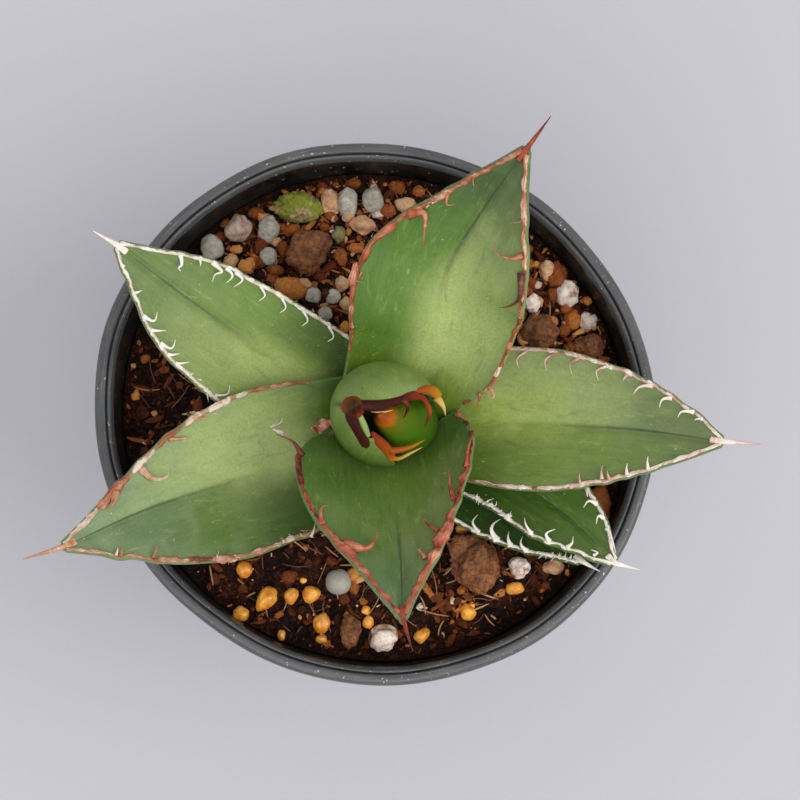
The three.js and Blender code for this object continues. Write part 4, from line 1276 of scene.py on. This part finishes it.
inner_profile = [(4.9, 97.5), (5.35, 100.5), (5.6, 103.5), (5.4, 106.5), (4.9, 109.5), (4.1, 112.5),
                 (3.3, 115.2), (2.6, 117.5), (2.0, 119.4), (1.3, 121), (0.7, 122.3), (0.2, 123)]
s = np.linspace(0, 1, 60)
radius, level = np.moveaxis(blend(inner_profile, s), -1, 0)
share = (level - inner_profile[0][1]) / (inner_profile[-1][1] - inner_profile[0][1])
turn = circle(56)
lean = np.clip(share, 0, 1)[:, None] ** 1.5
rings = turned_rings(radius, level, turn, 6.3 - 5.6 * lean, -4.2 - 0.7 * lean)
bud_inner = Collector("tone", "place")
place = np.stack(np.broadcast_arrays(turn * 5, level[:, None], 1.0), -1)
add_rings(bud_inner, rings, 0, tone=np.repeat(share, len(turn)), place=place)
finish_piece("bud_inner_spindle", bud_inner, [inner_skin], "bud_green", "bud_inner_leaf")
print("the inner bud leaf ends at mm:", inner_profile[-1][1])

# %% [markdown]
# Stem and dry scrap
#
# Almost nothing of the stem shows. It is a short pale stump with the scars of old leaves. A
# scrap of dry leaf skin has caught beside the bud; it is crumpled and pale brown.

# %% Turn the stem
stem_skin, tree, shader = start_material("stem_skin")
bark = noisy(tree, scaled(tree, place_of(tree), 500, 500, 1800), 1.0, 4.0, 0.7)
stem_colours = colour_ramp(tree, bark, [(0.3, 92, 62, 38), (0.5, 140, 128, 70), (0.7, 170, 170, 104)])
feed(tree, shader["Base Color"], stem_colours)
shader["Roughness"].default_value = 0.7
raise_surface(tree, shader, bark, 0.6, 0.5)

stem_profile = [(0.4, 58), (2.5, 59), (4.5, 64), (6, 72), (7.4, 82), (8, 90), (7.5, 95.6), (5.5, 97)]
radius, level = np.moveaxis(blend(stem_profile, np.linspace(0, 1, 70)), -1, 0)
STEM_MIDDLE = (2.5, -3.9)
turn = circle(72)
scars = 0.25 * np.sin(level[:, None] * 2.1 + 2 * np.sin(turn)) ** 3
rings = turned_rings(radius[:, None] + scars - 0.2, level, turn, *STEM_MIDDLE)
stump = Collector()
add_rings(stump, rings)
finish_piece("stem_stump", stump, [stem_skin], "stem", "stem")
print("stem is", round(stem_profile[-1][1] - stem_profile[0][1]), "mm long")

# %% Crumple the dry scrap
scrap_skin, tree, shader = start_material("dry_skin")
place = place_of(tree)
creases = noisy(tree, place, 900.0, 4.0, 0.7)
feed(tree, shader["Base Color"], colour_ramp(tree, creases, [
    (0.34, 120, 66, 44), (0.5, 188, 124, 94), (0.66, 226, 180, 152)]))
shader["Roughness"].default_value = 0.7
raise_surface(tree, shader, creases, 0.8, 0.3)

SCRAP_MIDDLE = (-9.4, -4.3, 100.2)
rows, columns = 26, 18
u, v = np.meshgrid(np.linspace(-1, 1, rows), np.linspace(-1, 1, columns), indexing="ij")
sheet = np.stack([2.3 * u * (1 - 0.25 * v ** 2), 1.3 * v * (1 - 0.5 * u ** 2) + 0.3 * u, 0 * u], -1)
for point in sheet.reshape(-1, 3):
    fold = Vector(point) * 0.75
    pull = [noise.noise(fold + Vector((shift, 0, 0))) for shift in (0, 17, 31)]
    point += np.array(pull) * (0.9, 0.9, 1.2)
    point[2] += 0.35 * abs(math.sin(point[0] * 2.4 + point[1]))
thin = np.array([0, 0, 0.16])
loops = np.concatenate([sheet + thin, (sheet - thin)[:, ::-1]], 1) + SCRAP_MIDDLE
scrap = Collector()
add_rings(scrap, loops)
finish_piece("dry_scrap", scrap, [scrap_skin], "dry_leaf", "dry_flake")
print("scrap across in mm:", np.ptp(loops[..., 0]).round(1))

# %% [markdown]
# Lumps
#
# Stones, clay lumps and grains are all balls that were pushed in and out by noise. Broad
# noise gives each its shape and fine noise its skin. A ball of even triangles takes this
# better than one of rings, whose poles would show.

# %% Make lumps
def even_ball(subdivisions):
    """Points on a ball of radius 1 and the triangles between them."""
    ball = bmesh.new()
    bmesh.ops.create_icosphere(ball, subdivisions=subdivisions, radius=1)
    points = np.array([vert.co for vert in ball.verts])
    faces = np.array([[vert.index for vert in face.verts] for face in ball.faces])
    ball.free()
    return unit(points), faces


def spun(points, angle):
    """Points turned about the vertical, with the angle in radians."""
    c, s = math.cos(angle), math.sin(angle)
    return np.stack([points[:, 0] * c - points[:, 1] * s, points[:, 0] * s + points[:, 1] * c,
                     points[:, 2]], 1)


BALLS = {level: even_ball(level) for level in (1, 2, 3, 4, 5)}


def lump_points(points, shape, skin, seed):
    """Pushes the points of a ball in and out: shape is the broad noise, skin the fine one."""
    pushed = []
    for point in points:
        place = Vector(point) * 1.1 + Vector((seed, seed * 0.7, -seed))
        push = 1 + shape * noise.noise(place) + shape * 0.5 * noise.noise(place * 2.1)
        push += skin * noise.fractal(place * 5, 1.0, 2.2, 3)
        pushed.append(push)
    return points * np.array(pushed)[:, None]


def add_lump(collector, middle, half, level, shape, skin, seed, long=None, **values):
    """Fills the box of half sizes with a lump. long = (angle, width, taper) draws it out."""
    points, faces = BALLS[level]
    shaped = lump_points(points, shape, skin, seed)
    if long:
        angle, width, taper = long
        shaped[:, 1] *= width * (1 - taper * shaped[:, 0])
        shaped = spun(shaped, math.radians(angle))
    shaped = shaped / np.abs(shaped).max(0) * np.asarray(half)
    collector.add(shaped + np.asarray(middle), faces, 0, **values)


for level, (points, faces) in BALLS.items():
    print("ball", level, "has", len(faces), "faces")

# %% [markdown]
# The stones
#
# Each kind of stone has its own surface. Pumice is grey with fine pores, perlite is white
# foam with brown stains, the fired clay is rough and brown, tan pebbles are smooth, one
# stone wears moss, and the fertiliser grains are amber beads.

# %% Stone finishes
def stone_material(name, dark, light, scale, pore, roughness, bumps, stain=None, stain_from=0.0):
    """Two colours by noise, pores of a size in millimetres, and an optional stain."""
    dark, light = colour(*dark), colour(*light)
    material, tree, shader = start_material(name)
    place = place_of(tree)
    blotch = noisy(tree, place, scale, 4.0, 0.7)
    stone = mixed(tree, between(tree, blotch, 0.3, 0.7), dark, light)
    holes = use_group(tree, pores, size=pore, share=0.55)
    # painted shade: the pores are darkened towards the dark colour
    stone = mixed(tree, times(tree, holes["Pit"], 0.55), stone, dark)
    if stain:
        patch = noisy(tree, place, 260.0, 3.0, 0.6)
        stained = between(tree, patch, stain_from, stain_from + 0.12)
        stone = mixed(tree, stained, stone, colour(*stain))
    earth = use_group(tree, dust, colour=stone, dust=colour(70, 42, 24), film=0.25, specks=0.5, size=0.8)
    feed(tree, shader["Base Color"], earth["Colour"])
    shader["Roughness"].default_value = roughness
    raise_surface(tree, shader, holes["Height"], bumps, 0.25)
    return material


STONE_KINDS = {
    # shape noise, skin noise, dark and light colour, fineness of the blotches, size of the
    # pores, roughness, bumps, and for some a stain and the noise value where it begins
    "pumice": (0.16, 0.03, (146, 142, 128), (196, 190, 174), 700, 0.45, 0.75, 0.5),
    "perlite": (0.34, 0.06, (214, 190, 172), (248, 236, 224), 900, 0.5, 0.7, 0.6,
                (176, 128, 98), 0.56),
    "clay_lump": (0.36, 0.13, (82, 43, 18), (156, 96, 48), 650, 0.6, 0.62, 1.0),
    "tan_pebble": (0.3, 0.04, (176, 118, 80), (224, 184, 142), 500, 0.6, 0.6, 0.45),
    "stained_pebble": (0.3, 0.06, (150, 118, 98), (202, 184, 168), 500, 0.5, 0.7, 0.5),
    "mossy_stone": (0.4, 0.16, (120, 96, 60), (200, 176, 130), 900, 0.5, 0.9, 1.0,
                    (126, 136, 34), 0.4),
    "olive_pebble": (0.3, 0.05, (92, 88, 48), (142, 136, 84), 500, 0.6, 0.7, 0.5),
    "orange_grain": (0.14, 0.012, (212, 116, 12), (250, 184, 76), 420, 1.4, 0.25, 0.12),
    "grey_bead": (0.04, 0.008, (146, 142, 130), (164, 160, 148), 600, 0.5, 0.5, 0.25),
}
STONES = {}
for kind, (shape, skin, *look) in STONE_KINDS.items():
    STONES[kind] = (shape, skin, stone_material(kind + "_finish", *look))
print("kinds of stone:", len(STONES))

# %% Put each stone in its place
SLOTS = {"stained_pebble": "tan_pebble", "olive_pebble": "mossy_stone", "grey_bead": "pumice"}
# these two touch in the picture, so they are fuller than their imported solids
FULLER = {"mossy_stone": (1.18, 1, 1), "tan_pebble_1": (1.7, 1.05, 1)}
# angle, width and taper of the drawn out grains
GRAINS = [(-128, 0.66, 0.34), (30, 0.8, 0.1), (12, 0.8, 0.15), (80, 0.75, 0.1), (35, 0.7, 0.2),
          (100, 0.7, 0.3)]
seed = 0
for node in sorted(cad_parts):
    kind = node.rstrip("0123456789").rstrip("_")
    if kind not in STONES:
        continue
    seed += 1
    low, high = (np.array(corner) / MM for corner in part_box(node))
    shape, skin, finish = STONES[kind]
    lump = Collector()
    level = 5 if max(high - low) > 8 else 4
    half = (high - low) / 2 * FULLER.get(node, 1)
    drawn_out = GRAINS[int(node[-1]) - 1] if kind == "orange_grain" else None
    add_lump(lump, (low + high) / 2, half, level, shape, skin, 3.7 * seed, drawn_out)
    finish_piece(node + "_grown", lump, [finish], SLOTS.get(kind, kind), node)
print("stones placed:", seed)

# %% [markdown]
# The pot
#
# A nursery pot is blown or moulded from thin black polypropylene. Its wall leans out, a
# rolled rim stiffens the top, and a fine groove runs round the rim. It is turned here from
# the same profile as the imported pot, with its corners rounded, and pressed slightly oval
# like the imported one. The drain holes are cut through the floor.

# %% Turn the pot
SQUEEZE = 0.047
LONG_AXIS = math.radians(-25)
POT_TURN = circle(256)
INNER_FOOT, INNER_TOP = 37.8, 49.2
FLOOR_THICKNESS = 1.8
HOLE_COUNT, HOLE_RADIUS, HOLE_CIRCLE = 8, 3.5, 26


def inner_radius(z):
    return INNER_FOOT + (INNER_TOP - INNER_FOOT) * z / RIM_HEIGHT


def pressed_oval(points):
    """Narrows round things across the long axis, more towards the rim."""
    x, y, z = points[..., 0], points[..., 1], points[..., 2]
    c, s = math.cos(LONG_AXIS), math.sin(LONG_AXIS)
    along = x * c + y * s
    across = (y * c - x * s) * (1 - SQUEEZE * z / RIM_HEIGHT)
    return np.stack([along * c - across * s, along * s + across * c, z], -1)


def rounded(profile, reach):
    """Rounds the corners of a profile: each is replaced by a short curve."""
    profile = [np.array(point, float) for point in profile]
    smooth = [profile[0]]
    for before, corner, after in zip(profile, profile[1:], profile[2:]):
        first = corner + (before - corner) * min(0.45, reach / np.linalg.norm(before - corner))
        second = corner + (after - corner) * min(0.45, reach / np.linalg.norm(after - corner))
        for u in np.linspace(0, 1, 4):
            smooth.append((1 - u) ** 2 * first + 2 * u * (1 - u) * corner + u ** 2 * second)
    return np.array(smooth + [profile[-1]])


outside = [(0, 0), (36.8, 0), (38, 0.6), (38.6, 2), (50.4, 85.8), (51.2, 85.8), (51.2, 78), (51.9, 78),
           (52.4, 79), (52.5, 87.1), (52.15, 87.8), (51.6, 88), (50.5, 88), (50.3, 87.1), (50.05, 87.8),
           (49.4, 87.5), (49, 86.7), (48.8, 85), (inner_radius(82.6), 82.6), (inner_radius(40), 40),
           (inner_radius(3), 3), (inner_radius(0) - 1.4, FLOOR_THICKNESS), (0, FLOOR_THICKNESS)]
profile = rounded(outside, 0.3)
around = turned_rings(profile[:, 0], profile[:, 1], POT_TURN)
wobble = 0.12 * np.sin(7 * POT_TURN + 1) + 0.08 * np.sin(13 * POT_TURN + 2.2)
high = np.clip((around[..., 2] - 70) / 18, 0, 1) * (profile[:, :1] > 45)
around[..., 0] += wobble * high * np.cos(POT_TURN)
around[..., 1] += wobble * high * np.sin(POT_TURN)
turned = Collector("rim", "place")
skirt = (profile[:, 0] > 50.4) & (profile[:, 1] > 77.5)
skirt |= (profile[:, 0] > 48.9) & (profile[:, 0] < 50.15) & (profile[:, 1] > 86.5)
# how grey the rim is painted, for dust and painted highlight: 1 on top, 0.62 down its sides
rim_mark = np.repeat(skirt * np.where(profile[:, 1] > 86, 1.0, 0.62), len(POT_TURN))
run = np.concatenate([[0], np.cumsum(np.linalg.norm(np.diff(profile, axis=0), axis=1))])
around_wall = 6 * np.stack([np.cos(POT_TURN), np.sin(POT_TURN)], 1)
turned_place = np.concatenate([np.repeat(run[:, None, None], len(POT_TURN), 1),
                               np.broadcast_to(around_wall, (len(run), len(POT_TURN), 2))], -1)
add_rings(turned, pressed_oval(around), rim=rim_mark, place=turned_place)
print("pot points:", turned.count)

# %% [markdown]
# The finish of the pot
#
# Black plastic that has been handled and watered. The rim is painted grey, partly for a film
# of fine dust and partly as a painted highlight, most on top; short scratches brightened
# into painted streaky highlights, pale specks of mineral and painted glints sit on it, and
# the inner wall stays dark.

# %% Finish the pot
plastic, tree, shader = start_material("pot_plastic_used")
place = place_of(tree)
on_rim = stored(tree, "rim")
# the rim is painted grey, partly for a film of dust and partly as a painted highlight
ground = mixed(tree, on_rim, colour(10, 10, 11), colour(70, 71, 74))
haze = noisy(tree, place, 60.0, 5.0, 0.7)
ground = mixed(tree, times(tree, between(tree, haze, 0.35, 0.75), 0.14), ground, colour(104, 104, 104))
rubs = noisy(tree, scaled(tree, stored(tree, "place", "Vector"), 3.0, 0.5, 0.5), 1.6, 5.0, 0.7)
# scratches along the rim, brightened into painted streaky highlights
scratches_and_highlights = times(tree, between(tree, rubs, 0.56, 0.72), on_rim)
ground = mixed(tree, times(tree, scratches_and_highlights, 0.8), ground, colour(136, 136, 138))
ground = mixed(tree, times(tree, between(tree, rubs, 0.46, 0.3), on_rim), ground, colour(34, 34, 36))
# painted glints: small bright sparkles on the rim, besides the mineral specks of the dust
painted_glints = between(tree, noisy(tree, place, 1700.0, 2.0, 0.6), 0.7, 0.76)
ground = mixed(tree, times(tree, painted_glints, on_rim), ground, colour(232, 226, 216))
dusty = use_group(tree, dust, colour=ground, dust=colour(176, 166, 150), film=0.05, specks=0.8, size=0.9)
feed(tree, shader["Base Color"], dusty["Colour"])
feed(tree, shader["Roughness"], plus(tree, times(tree, dusty["Mask"], 0.3), 0.34))
shader["Specular IOR Level"].default_value = 0.5
height = plus(tree, times(tree, haze, 0.6), scratches_and_highlights)
raise_surface(tree, shader, height, 0.35, 0.15)

pot = finish_piece("pot_turned", turned, [plastic], "pot_plastic", "pot")
drill_mesh = bpy.data.meshes.new("drill")
drill = bmesh.new()
for index in range(HOLE_COUNT):
    angle = (index + 0.5) * 2 * math.pi / HOLE_COUNT
    made = bmesh.ops.create_cone(drill, cap_ends=True, segments=40, radius1=HOLE_RADIUS * MM,
                                 radius2=HOLE_RADIUS * MM, depth=6 * MM)
    middle = Vector((math.cos(angle), math.sin(angle), 0)) * HOLE_CIRCLE * MM
    bmesh.ops.translate(drill, verts=made["verts"], vec=middle)
drill.to_mesh(drill_mesh)
drill.free()
cutter = bpy.data.objects.new("drill", drill_mesh)
bpy.context.scene.collection.objects.link(cutter)
cut = pot.modifiers.new("drain_holes", "BOOLEAN")
cut.operation = "DIFFERENCE"
cut.solver = "EXACT"
cut.object = cutter
bpy.context.view_layer.update()
bored = bpy.data.meshes.new_from_object(pot.evaluated_get(bpy.context.evaluated_depsgraph_get()))
pot.modifiers.clear()
pot.data = bored
bpy.data.objects.remove(cutter)
bored.set_sharp_from_angle(angle=math.radians(50))
print("pot faces after drilling:", len(bored.polygons))

# %% [markdown]
# The soil
#
# The mix has settled a few millimetres below the rim and is highest in the middle. Its
# surface is crumbly at every scale, so the sheet is bumpy, and thousands of crumbs, bits of
# bark and fibres lie on it. A bump map alone would look flat at the rim, where the soil is
# seen past the edge of the pot.

# %% Heap the soil
SOIL_MIDDLE, SOIL_EDGE, SOIL_REACH = 83.0, 79.5, 46.5


def soil_level(x, y):
    share = np.minimum(np.hypot(x, y) / SOIL_REACH, 1) ** 2
    return SOIL_MIDDLE + (SOIL_EDGE - SOIL_MIDDLE) * share


turn = circle(480)
wall_gap = 0.35
top_radius = inner_radius(SOIL_EDGE) - wall_gap
radii = top_radius * np.linspace(0.004, 1, 112)
sheet = turned_rings(radii, 0 * radii, turn)
sheet[..., 2] = soil_level(sheet[..., 0], sheet[..., 1])
for point in sheet.reshape(-1, 3):
    place = Vector(point)
    height = 0.55 * noise.noise(place * 0.16) + 0.5 * noise.noise(place * 0.55)
    height += 0.45 * abs(noise.noise(place * 1.3)) + 0.2 * noise.noise(place * 2.9)
    point[2] += height - 0.25
walls = [(inner_radius(z) - wall_gap, z) for z in (60, 20, 4)] + [(34, 2.4), (2, 2.4)]
sides = turned_rings(*zip(*walls), turn)
heap = Collector()
add_rings(heap, pressed_oval(np.concatenate([sheet, sides]))[:, ::-1])

earth, tree, shader = start_material("compost")
place = place_of(tree)
fine = noisy(tree, place, 1500.0, 5.0, 0.75)
broad = noisy(tree, place, 220.0, 3.0, 0.6)
ground = colour_ramp(tree, plus(tree, times(tree, fine, 0.7), times(tree, broad, 0.35)), [
    (0.4, 7, 3, 2), (0.52, 26, 11, 5), (0.62, 66, 30, 12), (0.72, 124, 66, 30)])
feed(tree, shader["Base Color"], ground)
feed(tree, shader["Roughness"], between(tree, fine, 0.3, 0.7, 0.8, 0.5))
shader["Specular IOR Level"].default_value = 0.15
raise_surface(tree, shader, fine, 1.0, 0.6)
finish_piece("soil_heap", heap, [earth], "potting_mix", "soil")
print("soil faces:", len(heap.faces))

# %% [markdown]
# Crumbs, bits and fibres
#
# The left and lower parts of the pot show dark compost with red-brown bits and straw. The
# right and upper parts are pebbly, with orange-brown clay crumbs between the stones. A
# scatter with chosen chances for each area gives this, and a fixed seed gives the same
# scatter each time. Each crumb keeps a tone from 0 for black compost to 1 for pale stone;
# the few pale crumbs in the compost also stand in for painted wet glints.

# %% Scatter the crumbs
crumb_finish, tree, shader = start_material("crumbs")
tone = stored(tree, "tone")
place = place_of(tree)
speckle = plus(tree, noisy(tree, place, 1800.0, 4.0, 0.75), -0.5)
shade = plus(tree, tone, times(tree, speckle, 0.4))
crumb_colours = colour_ramp(tree, shade, [
    (0.04, 16, 7, 3), (0.2, 46, 19, 8), (0.36, 104, 50, 20), (0.52, 164, 92, 42),
    (0.68, 218, 146, 72), (0.8, 206, 180, 148), (0.92, 232, 222, 208)])
feed(tree, shader["Base Color"], crumb_colours)
feed(tree, shader["Roughness"], between(tree, speckle, -0.3, 0.3, 0.75, 0.45))
shader["Specular IOR Level"].default_value = 0.16
raise_surface(tree, shader, speckle, 1.0, 0.5)


def pebbly(x, y):
    """How pebbly the surface is: fully above and to the right, a little at the lower right."""
    angle = math.degrees(math.atan2(y, x))
    if -15 < angle < 128:
        return 1.0
    return 0.25 if -70 < angle < -15 else 0.12


def random_spot(dice, reach, least):
    """A chance place on the soil, as x, y and its distance from the middle."""
    distance = reach * math.sqrt(dice.uniform(least, 1))
    angle = dice.uniform(0, 2 * math.pi)
    return distance * math.cos(angle), distance * math.sin(angle), distance


CRUMB_REACH, CRUMB_LIMIT = 47.6, 47.4
CRUMB_SHAPES = [(1, 0.9, 0.8), (1.5, 0.7, 0.5), (1.3, 0.9, 0.4), (2.3, 0.45, 0.35)]
# tones, the chance of each, and how far single crumbs stray from them
# in the compost, the rare pale crumbs of tone 0.85 are partly pale grit and partly painted wet glints
COMPOST = ([0.08, 0.2, 0.34, 0.5, 0.85], [0.34, 0.31, 0.26, 0.075, 0.015], 0.04)
GRAVEL = ([0.3, 0.46, 0.6, 0.72, 0.86], [0.34, 0.32, 0.2, 0.09, 0.05], 0.05)


def picked_tone(dice, mix):
    """A chance tone from a mix of crumbs."""
    tones, chances, spread = mix
    return float(np.clip(dice.choice(tones, p=chances) + dice.normal() * spread, 0.02, 0.98))


def scatter(name, count, small, large, level, slot, mix, pebbles, seed, shift=0.0, paler=0.0):
    """Crumbs of half width small to large. With pebbles they keep to the pebbly parts."""
    dice = np.random.RandomState(seed)
    pile = Collector("tone")
    points, faces = BALLS[level]
    made = 0
    while made < count:
        x, y, distance = random_spot(dice, CRUMB_REACH, 0.03)
        share = pebbly(x, y)
        if dice.uniform() > (share if pebbles else 1.2 - share):
            continue
        size = small + (large - small) * dice.uniform() ** 2.2
        if distance + size > CRUMB_LIMIT:
            continue
        half = size * dice.uniform(0.5, 1.0, 3) * np.array(CRUMB_SHAPES[dice.randint(len(CRUMB_SHAPES))])
        rough = points * (1 + dice.uniform(-0.3, 0.3, (len(points), 1))) * half
        rough[:, 2] += rough[:, 0] * dice.normal() * 0.3
        rough = spun(rough, dice.uniform(0, 2 * math.pi))
        level_here = soil_level(x, y) + dice.uniform(-0.1, 0.75) * half[2] + 0.1
        place = pressed_oval(np.array([x, y, level_here]))
        tone = picked_tone(dice, mix) + shift + paler * share
        pile.add(rough + place, faces, tone=tone)
        made += 1
    finish_piece(name, pile, [crumb_finish], slot, smooth=level > 1)


scatter("crumbs_of_compost", 1700, 0.3, 1.6, 1, "potting_mix", COMPOST, False, 21)
scatter("crumbs_of_clay", 560, 0.5, 2.0, 2, "clay_lump", GRAVEL, True, 22)
scatter("crumbs_of_gravel", 620, 0.3, 1.3, 1, "clay_lump", GRAVEL, True, 24)
scatter("crumbs_fine", 1800, 0.16, 0.6, 1, "potting_mix", COMPOST, False, 23, paler=0.12)
scatter("crumbs_of_debris", 2600, 0.15, 0.75, 1, "clay_lump", GRAVEL, True, 25, shift=-0.1)
print("crumbs are scattered")

# %% [markdown]
# Stones that are too small or too deep to be packed
#
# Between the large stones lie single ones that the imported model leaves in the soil: clay
# bits, a few more fertiliser beads and some half buried pebbles. Their places and sizes
# follow the photograph, where other things don't hide them.

# %% Place the small stones
SMALL_STONES = [
    # x, y, half width, half depth, tone
    (-1.7, -36.7, 0.9, 0.9, 0.66), (-1.3, -38.9, 1.1, 1.3, 0.62), (-17.4, -41.3, 0.8, 1.1, 0.6),
    (-15.9, -30.4, 1.6, 1.4, 0.38), (-13.3, -31.2, 0.7, 0.6, 0.6), (-24.3, -29.1, 1.6, 1.7, 0.64),
    (-3.9, -32.3, 1.0, 1.9, 0.5), (-25, -37.3, 1.6, 1.5, 0.6), (26.1, -32.6, 1.8, 1.3, 0.64),
    (16.3, -21.7, 1.3, 0.9, 0.6), (19.3, -23.4, 1.7, 0.8, 0.58), (31.7, -32.1, 1, 0.9, 0.4),
    (23.4, -29.1, 1.1, 1.1, 0.25), (30.6, 28.5, 0.8, 0.7, 0.66), (31.7, 27.4, 0.9, 0.8, 0.68),
    (30.6, 24.5, 1, 0.9, 0.8), (30.9, 21.2, 0.9, 1.1, 0.68), (34.3, 26.6, 2.1, 2.6, 0.47),
    (40.1, 21.6, 1, 0.9, 0.62), (37.2, 18, 1.8, 2.2, 0.56), (-27.3, 29.1, 1.6, 1.5, 0.73),
    (-26.1, 31.4, 1.4, 0.9, 0.68), (-24, 28.1, 1.9, 1.6, 0.66), (-21.6, 31.8, 1.5, 1.9, 0.36),
    (-9.6, 35.6, 1, 1, 0.42), (-16.2, 23.6, 3.6, 2.2, 0.6), (-43.2, 10.6, 1, 1, 0.5),
    (-45, 3.7, 0.9, 1.2, 0.66), (-41.4, 0.2, 0.7, 0.6, 0.68), (41.9, -16.9, 2.6, 3.4, 0.46),
    (17.9, -35.8, 0.8, 0.8, 0.6), (-10, -42, 1.1, 0.9, 0.62), (-4.2, 44.2, 1.6, 1.2, 0.4),
    (4.2, 43.4, 1.8, 1.5, 0.44), (8.2, 42.6, 1.4, 1.2, 0.52), (12.4, 41, 1.5, 1.6, 0.38),
    (24.6, 35.6, 1.2, 1, 0.5), (28.4, 31.4, 1.5, 1.2, 0.46), (37.2, 12.6, 1.4, 1.1, 0.44),
    (-33.8, 26.6, 1.7, 1.5, 0.74), (-28.2, 36.4, 1.4, 1.1, 0.42), (-10.4, 26, 1.4, 1.1, 0.36),
    (-22.6, 38.4, 1.6, 1.3, 0.42), (-17.4, 31.4, 1.3, 1.7, 0.4), (-15.6, 35.2, 1.6, 1.1, 0.46),
    (-24.2, 34.4, 1.1, 1.5, 0.34), (-29.4, 33.9, 1.4, 1.1, 0.36), (-8.6, 38, 1.2, 1.1, 0.48),
    (-5, 37.6, 1.3, 1.2, 0.74), (2.6, 38.8, 1.7, 1.4, 0.48), (5.6, 40, 2, 1.6, 0.76),
    (-13.4, 24.6, 1.6, 1.2, 0.74), (-6.2, 24.6, 1.4, 1.6, 0.76), (-5.4, 20.6, 1.4, 1.5, 0.75),
    (-18.6, 27.2, 1.5, 1.2, 0.46), (-21.6, 29, 1.1, 1.3, 0.4), (-6.4, 29.8, 1.6, 1.9, 0.5),
    (27.6, 23.6, 1.6, 1.8, 0.5), (33.6, 22.8, 1.3, 1.5, 0.42), (36, 20, 1.2, 1.1, 0.5),
    (27.2, 18.6, 1.5, 1.4, 0.46), (35.6, 15.8, 1.5, 1.3, 0.44), (26.8, 28.2, 1.4, 1.3, 0.5),
]
small = Collector("tone")
beads = Collector()
for index, (x, y, half_x, half_y, tone) in enumerate(SMALL_STONES):
    half_z = 0.42 * (half_x + half_y)
    middle = (x, y, float(soil_level(x, y)) + 0.3 * half_z)
    half = (half_x, half_y, half_z)
    if y < -20 and 0.6 <= tone <= 0.68:
        add_lump(beads, middle, half, 3, 0.2, 0.02, 50 + 2.3 * index)
    else:
        add_lump(small, middle, half, 3, 0.34, 0.08, 50 + 2.3 * index, tone=tone)
finish_piece("small_stones", small, [crumb_finish], "clay_lump")
finish_piece("small_beads", beads, [STONES["orange_grain"][2]], "orange_grain")
print("small stones:", len(SMALL_STONES))

# %% Lay the fibres
straw, tree, shader = start_material("straw")
feed(tree, shader["Base Color"], colour_ramp(tree, stored(tree, "tone"), [
    (0.0, 52, 28, 16), (0.5, 116, 70, 38), (1.0, 184, 140, 92)]))
shader["Roughness"].default_value = 0.6
FIBRE_COUNT, FIBRE_REACH, FIBRE_LIMIT = 230, 45, 47
dice = np.random.RandomState(31)
fibres = Collector("tone")
laid = 0
while laid < FIBRE_COUNT:
    x, y, _ = random_spot(dice, FIBRE_REACH, 0.1)
    if dice.uniform() < pebbly(x, y) * 0.7:
        continue
    reach = dice.uniform(1.5, 6)
    way = dice.uniform(0, 2 * math.pi)
    s = np.linspace(-0.5, 0.5, 9)
    bend = dice.normal() * 0.25 * reach
    path_x = x + reach * s * math.cos(way) - bend * s ** 2 * math.sin(way)
    path_y = y + reach * s * math.sin(way) + bend * s ** 2 * math.cos(way)
    if np.hypot(path_x, path_y).max() > FIBRE_LIMIT:
        continue
    height = soil_level(path_x, path_y) + 0.75 + 0.4 * dice.normal() * s
    path = pressed_oval(np.stack([path_x, path_y, height], -1))
    add_tube(fibres, path, 0.06 + 0.15 * dice.uniform() * (1 - (2 * s) ** 4), 5, 1.0, 0,
             float(dice.uniform(0.1, 1) ** 1.2), 0.0)
    laid += 1
finish_piece("fibres", fibres, [straw], "potting_mix")
print("fibres laid:", laid)
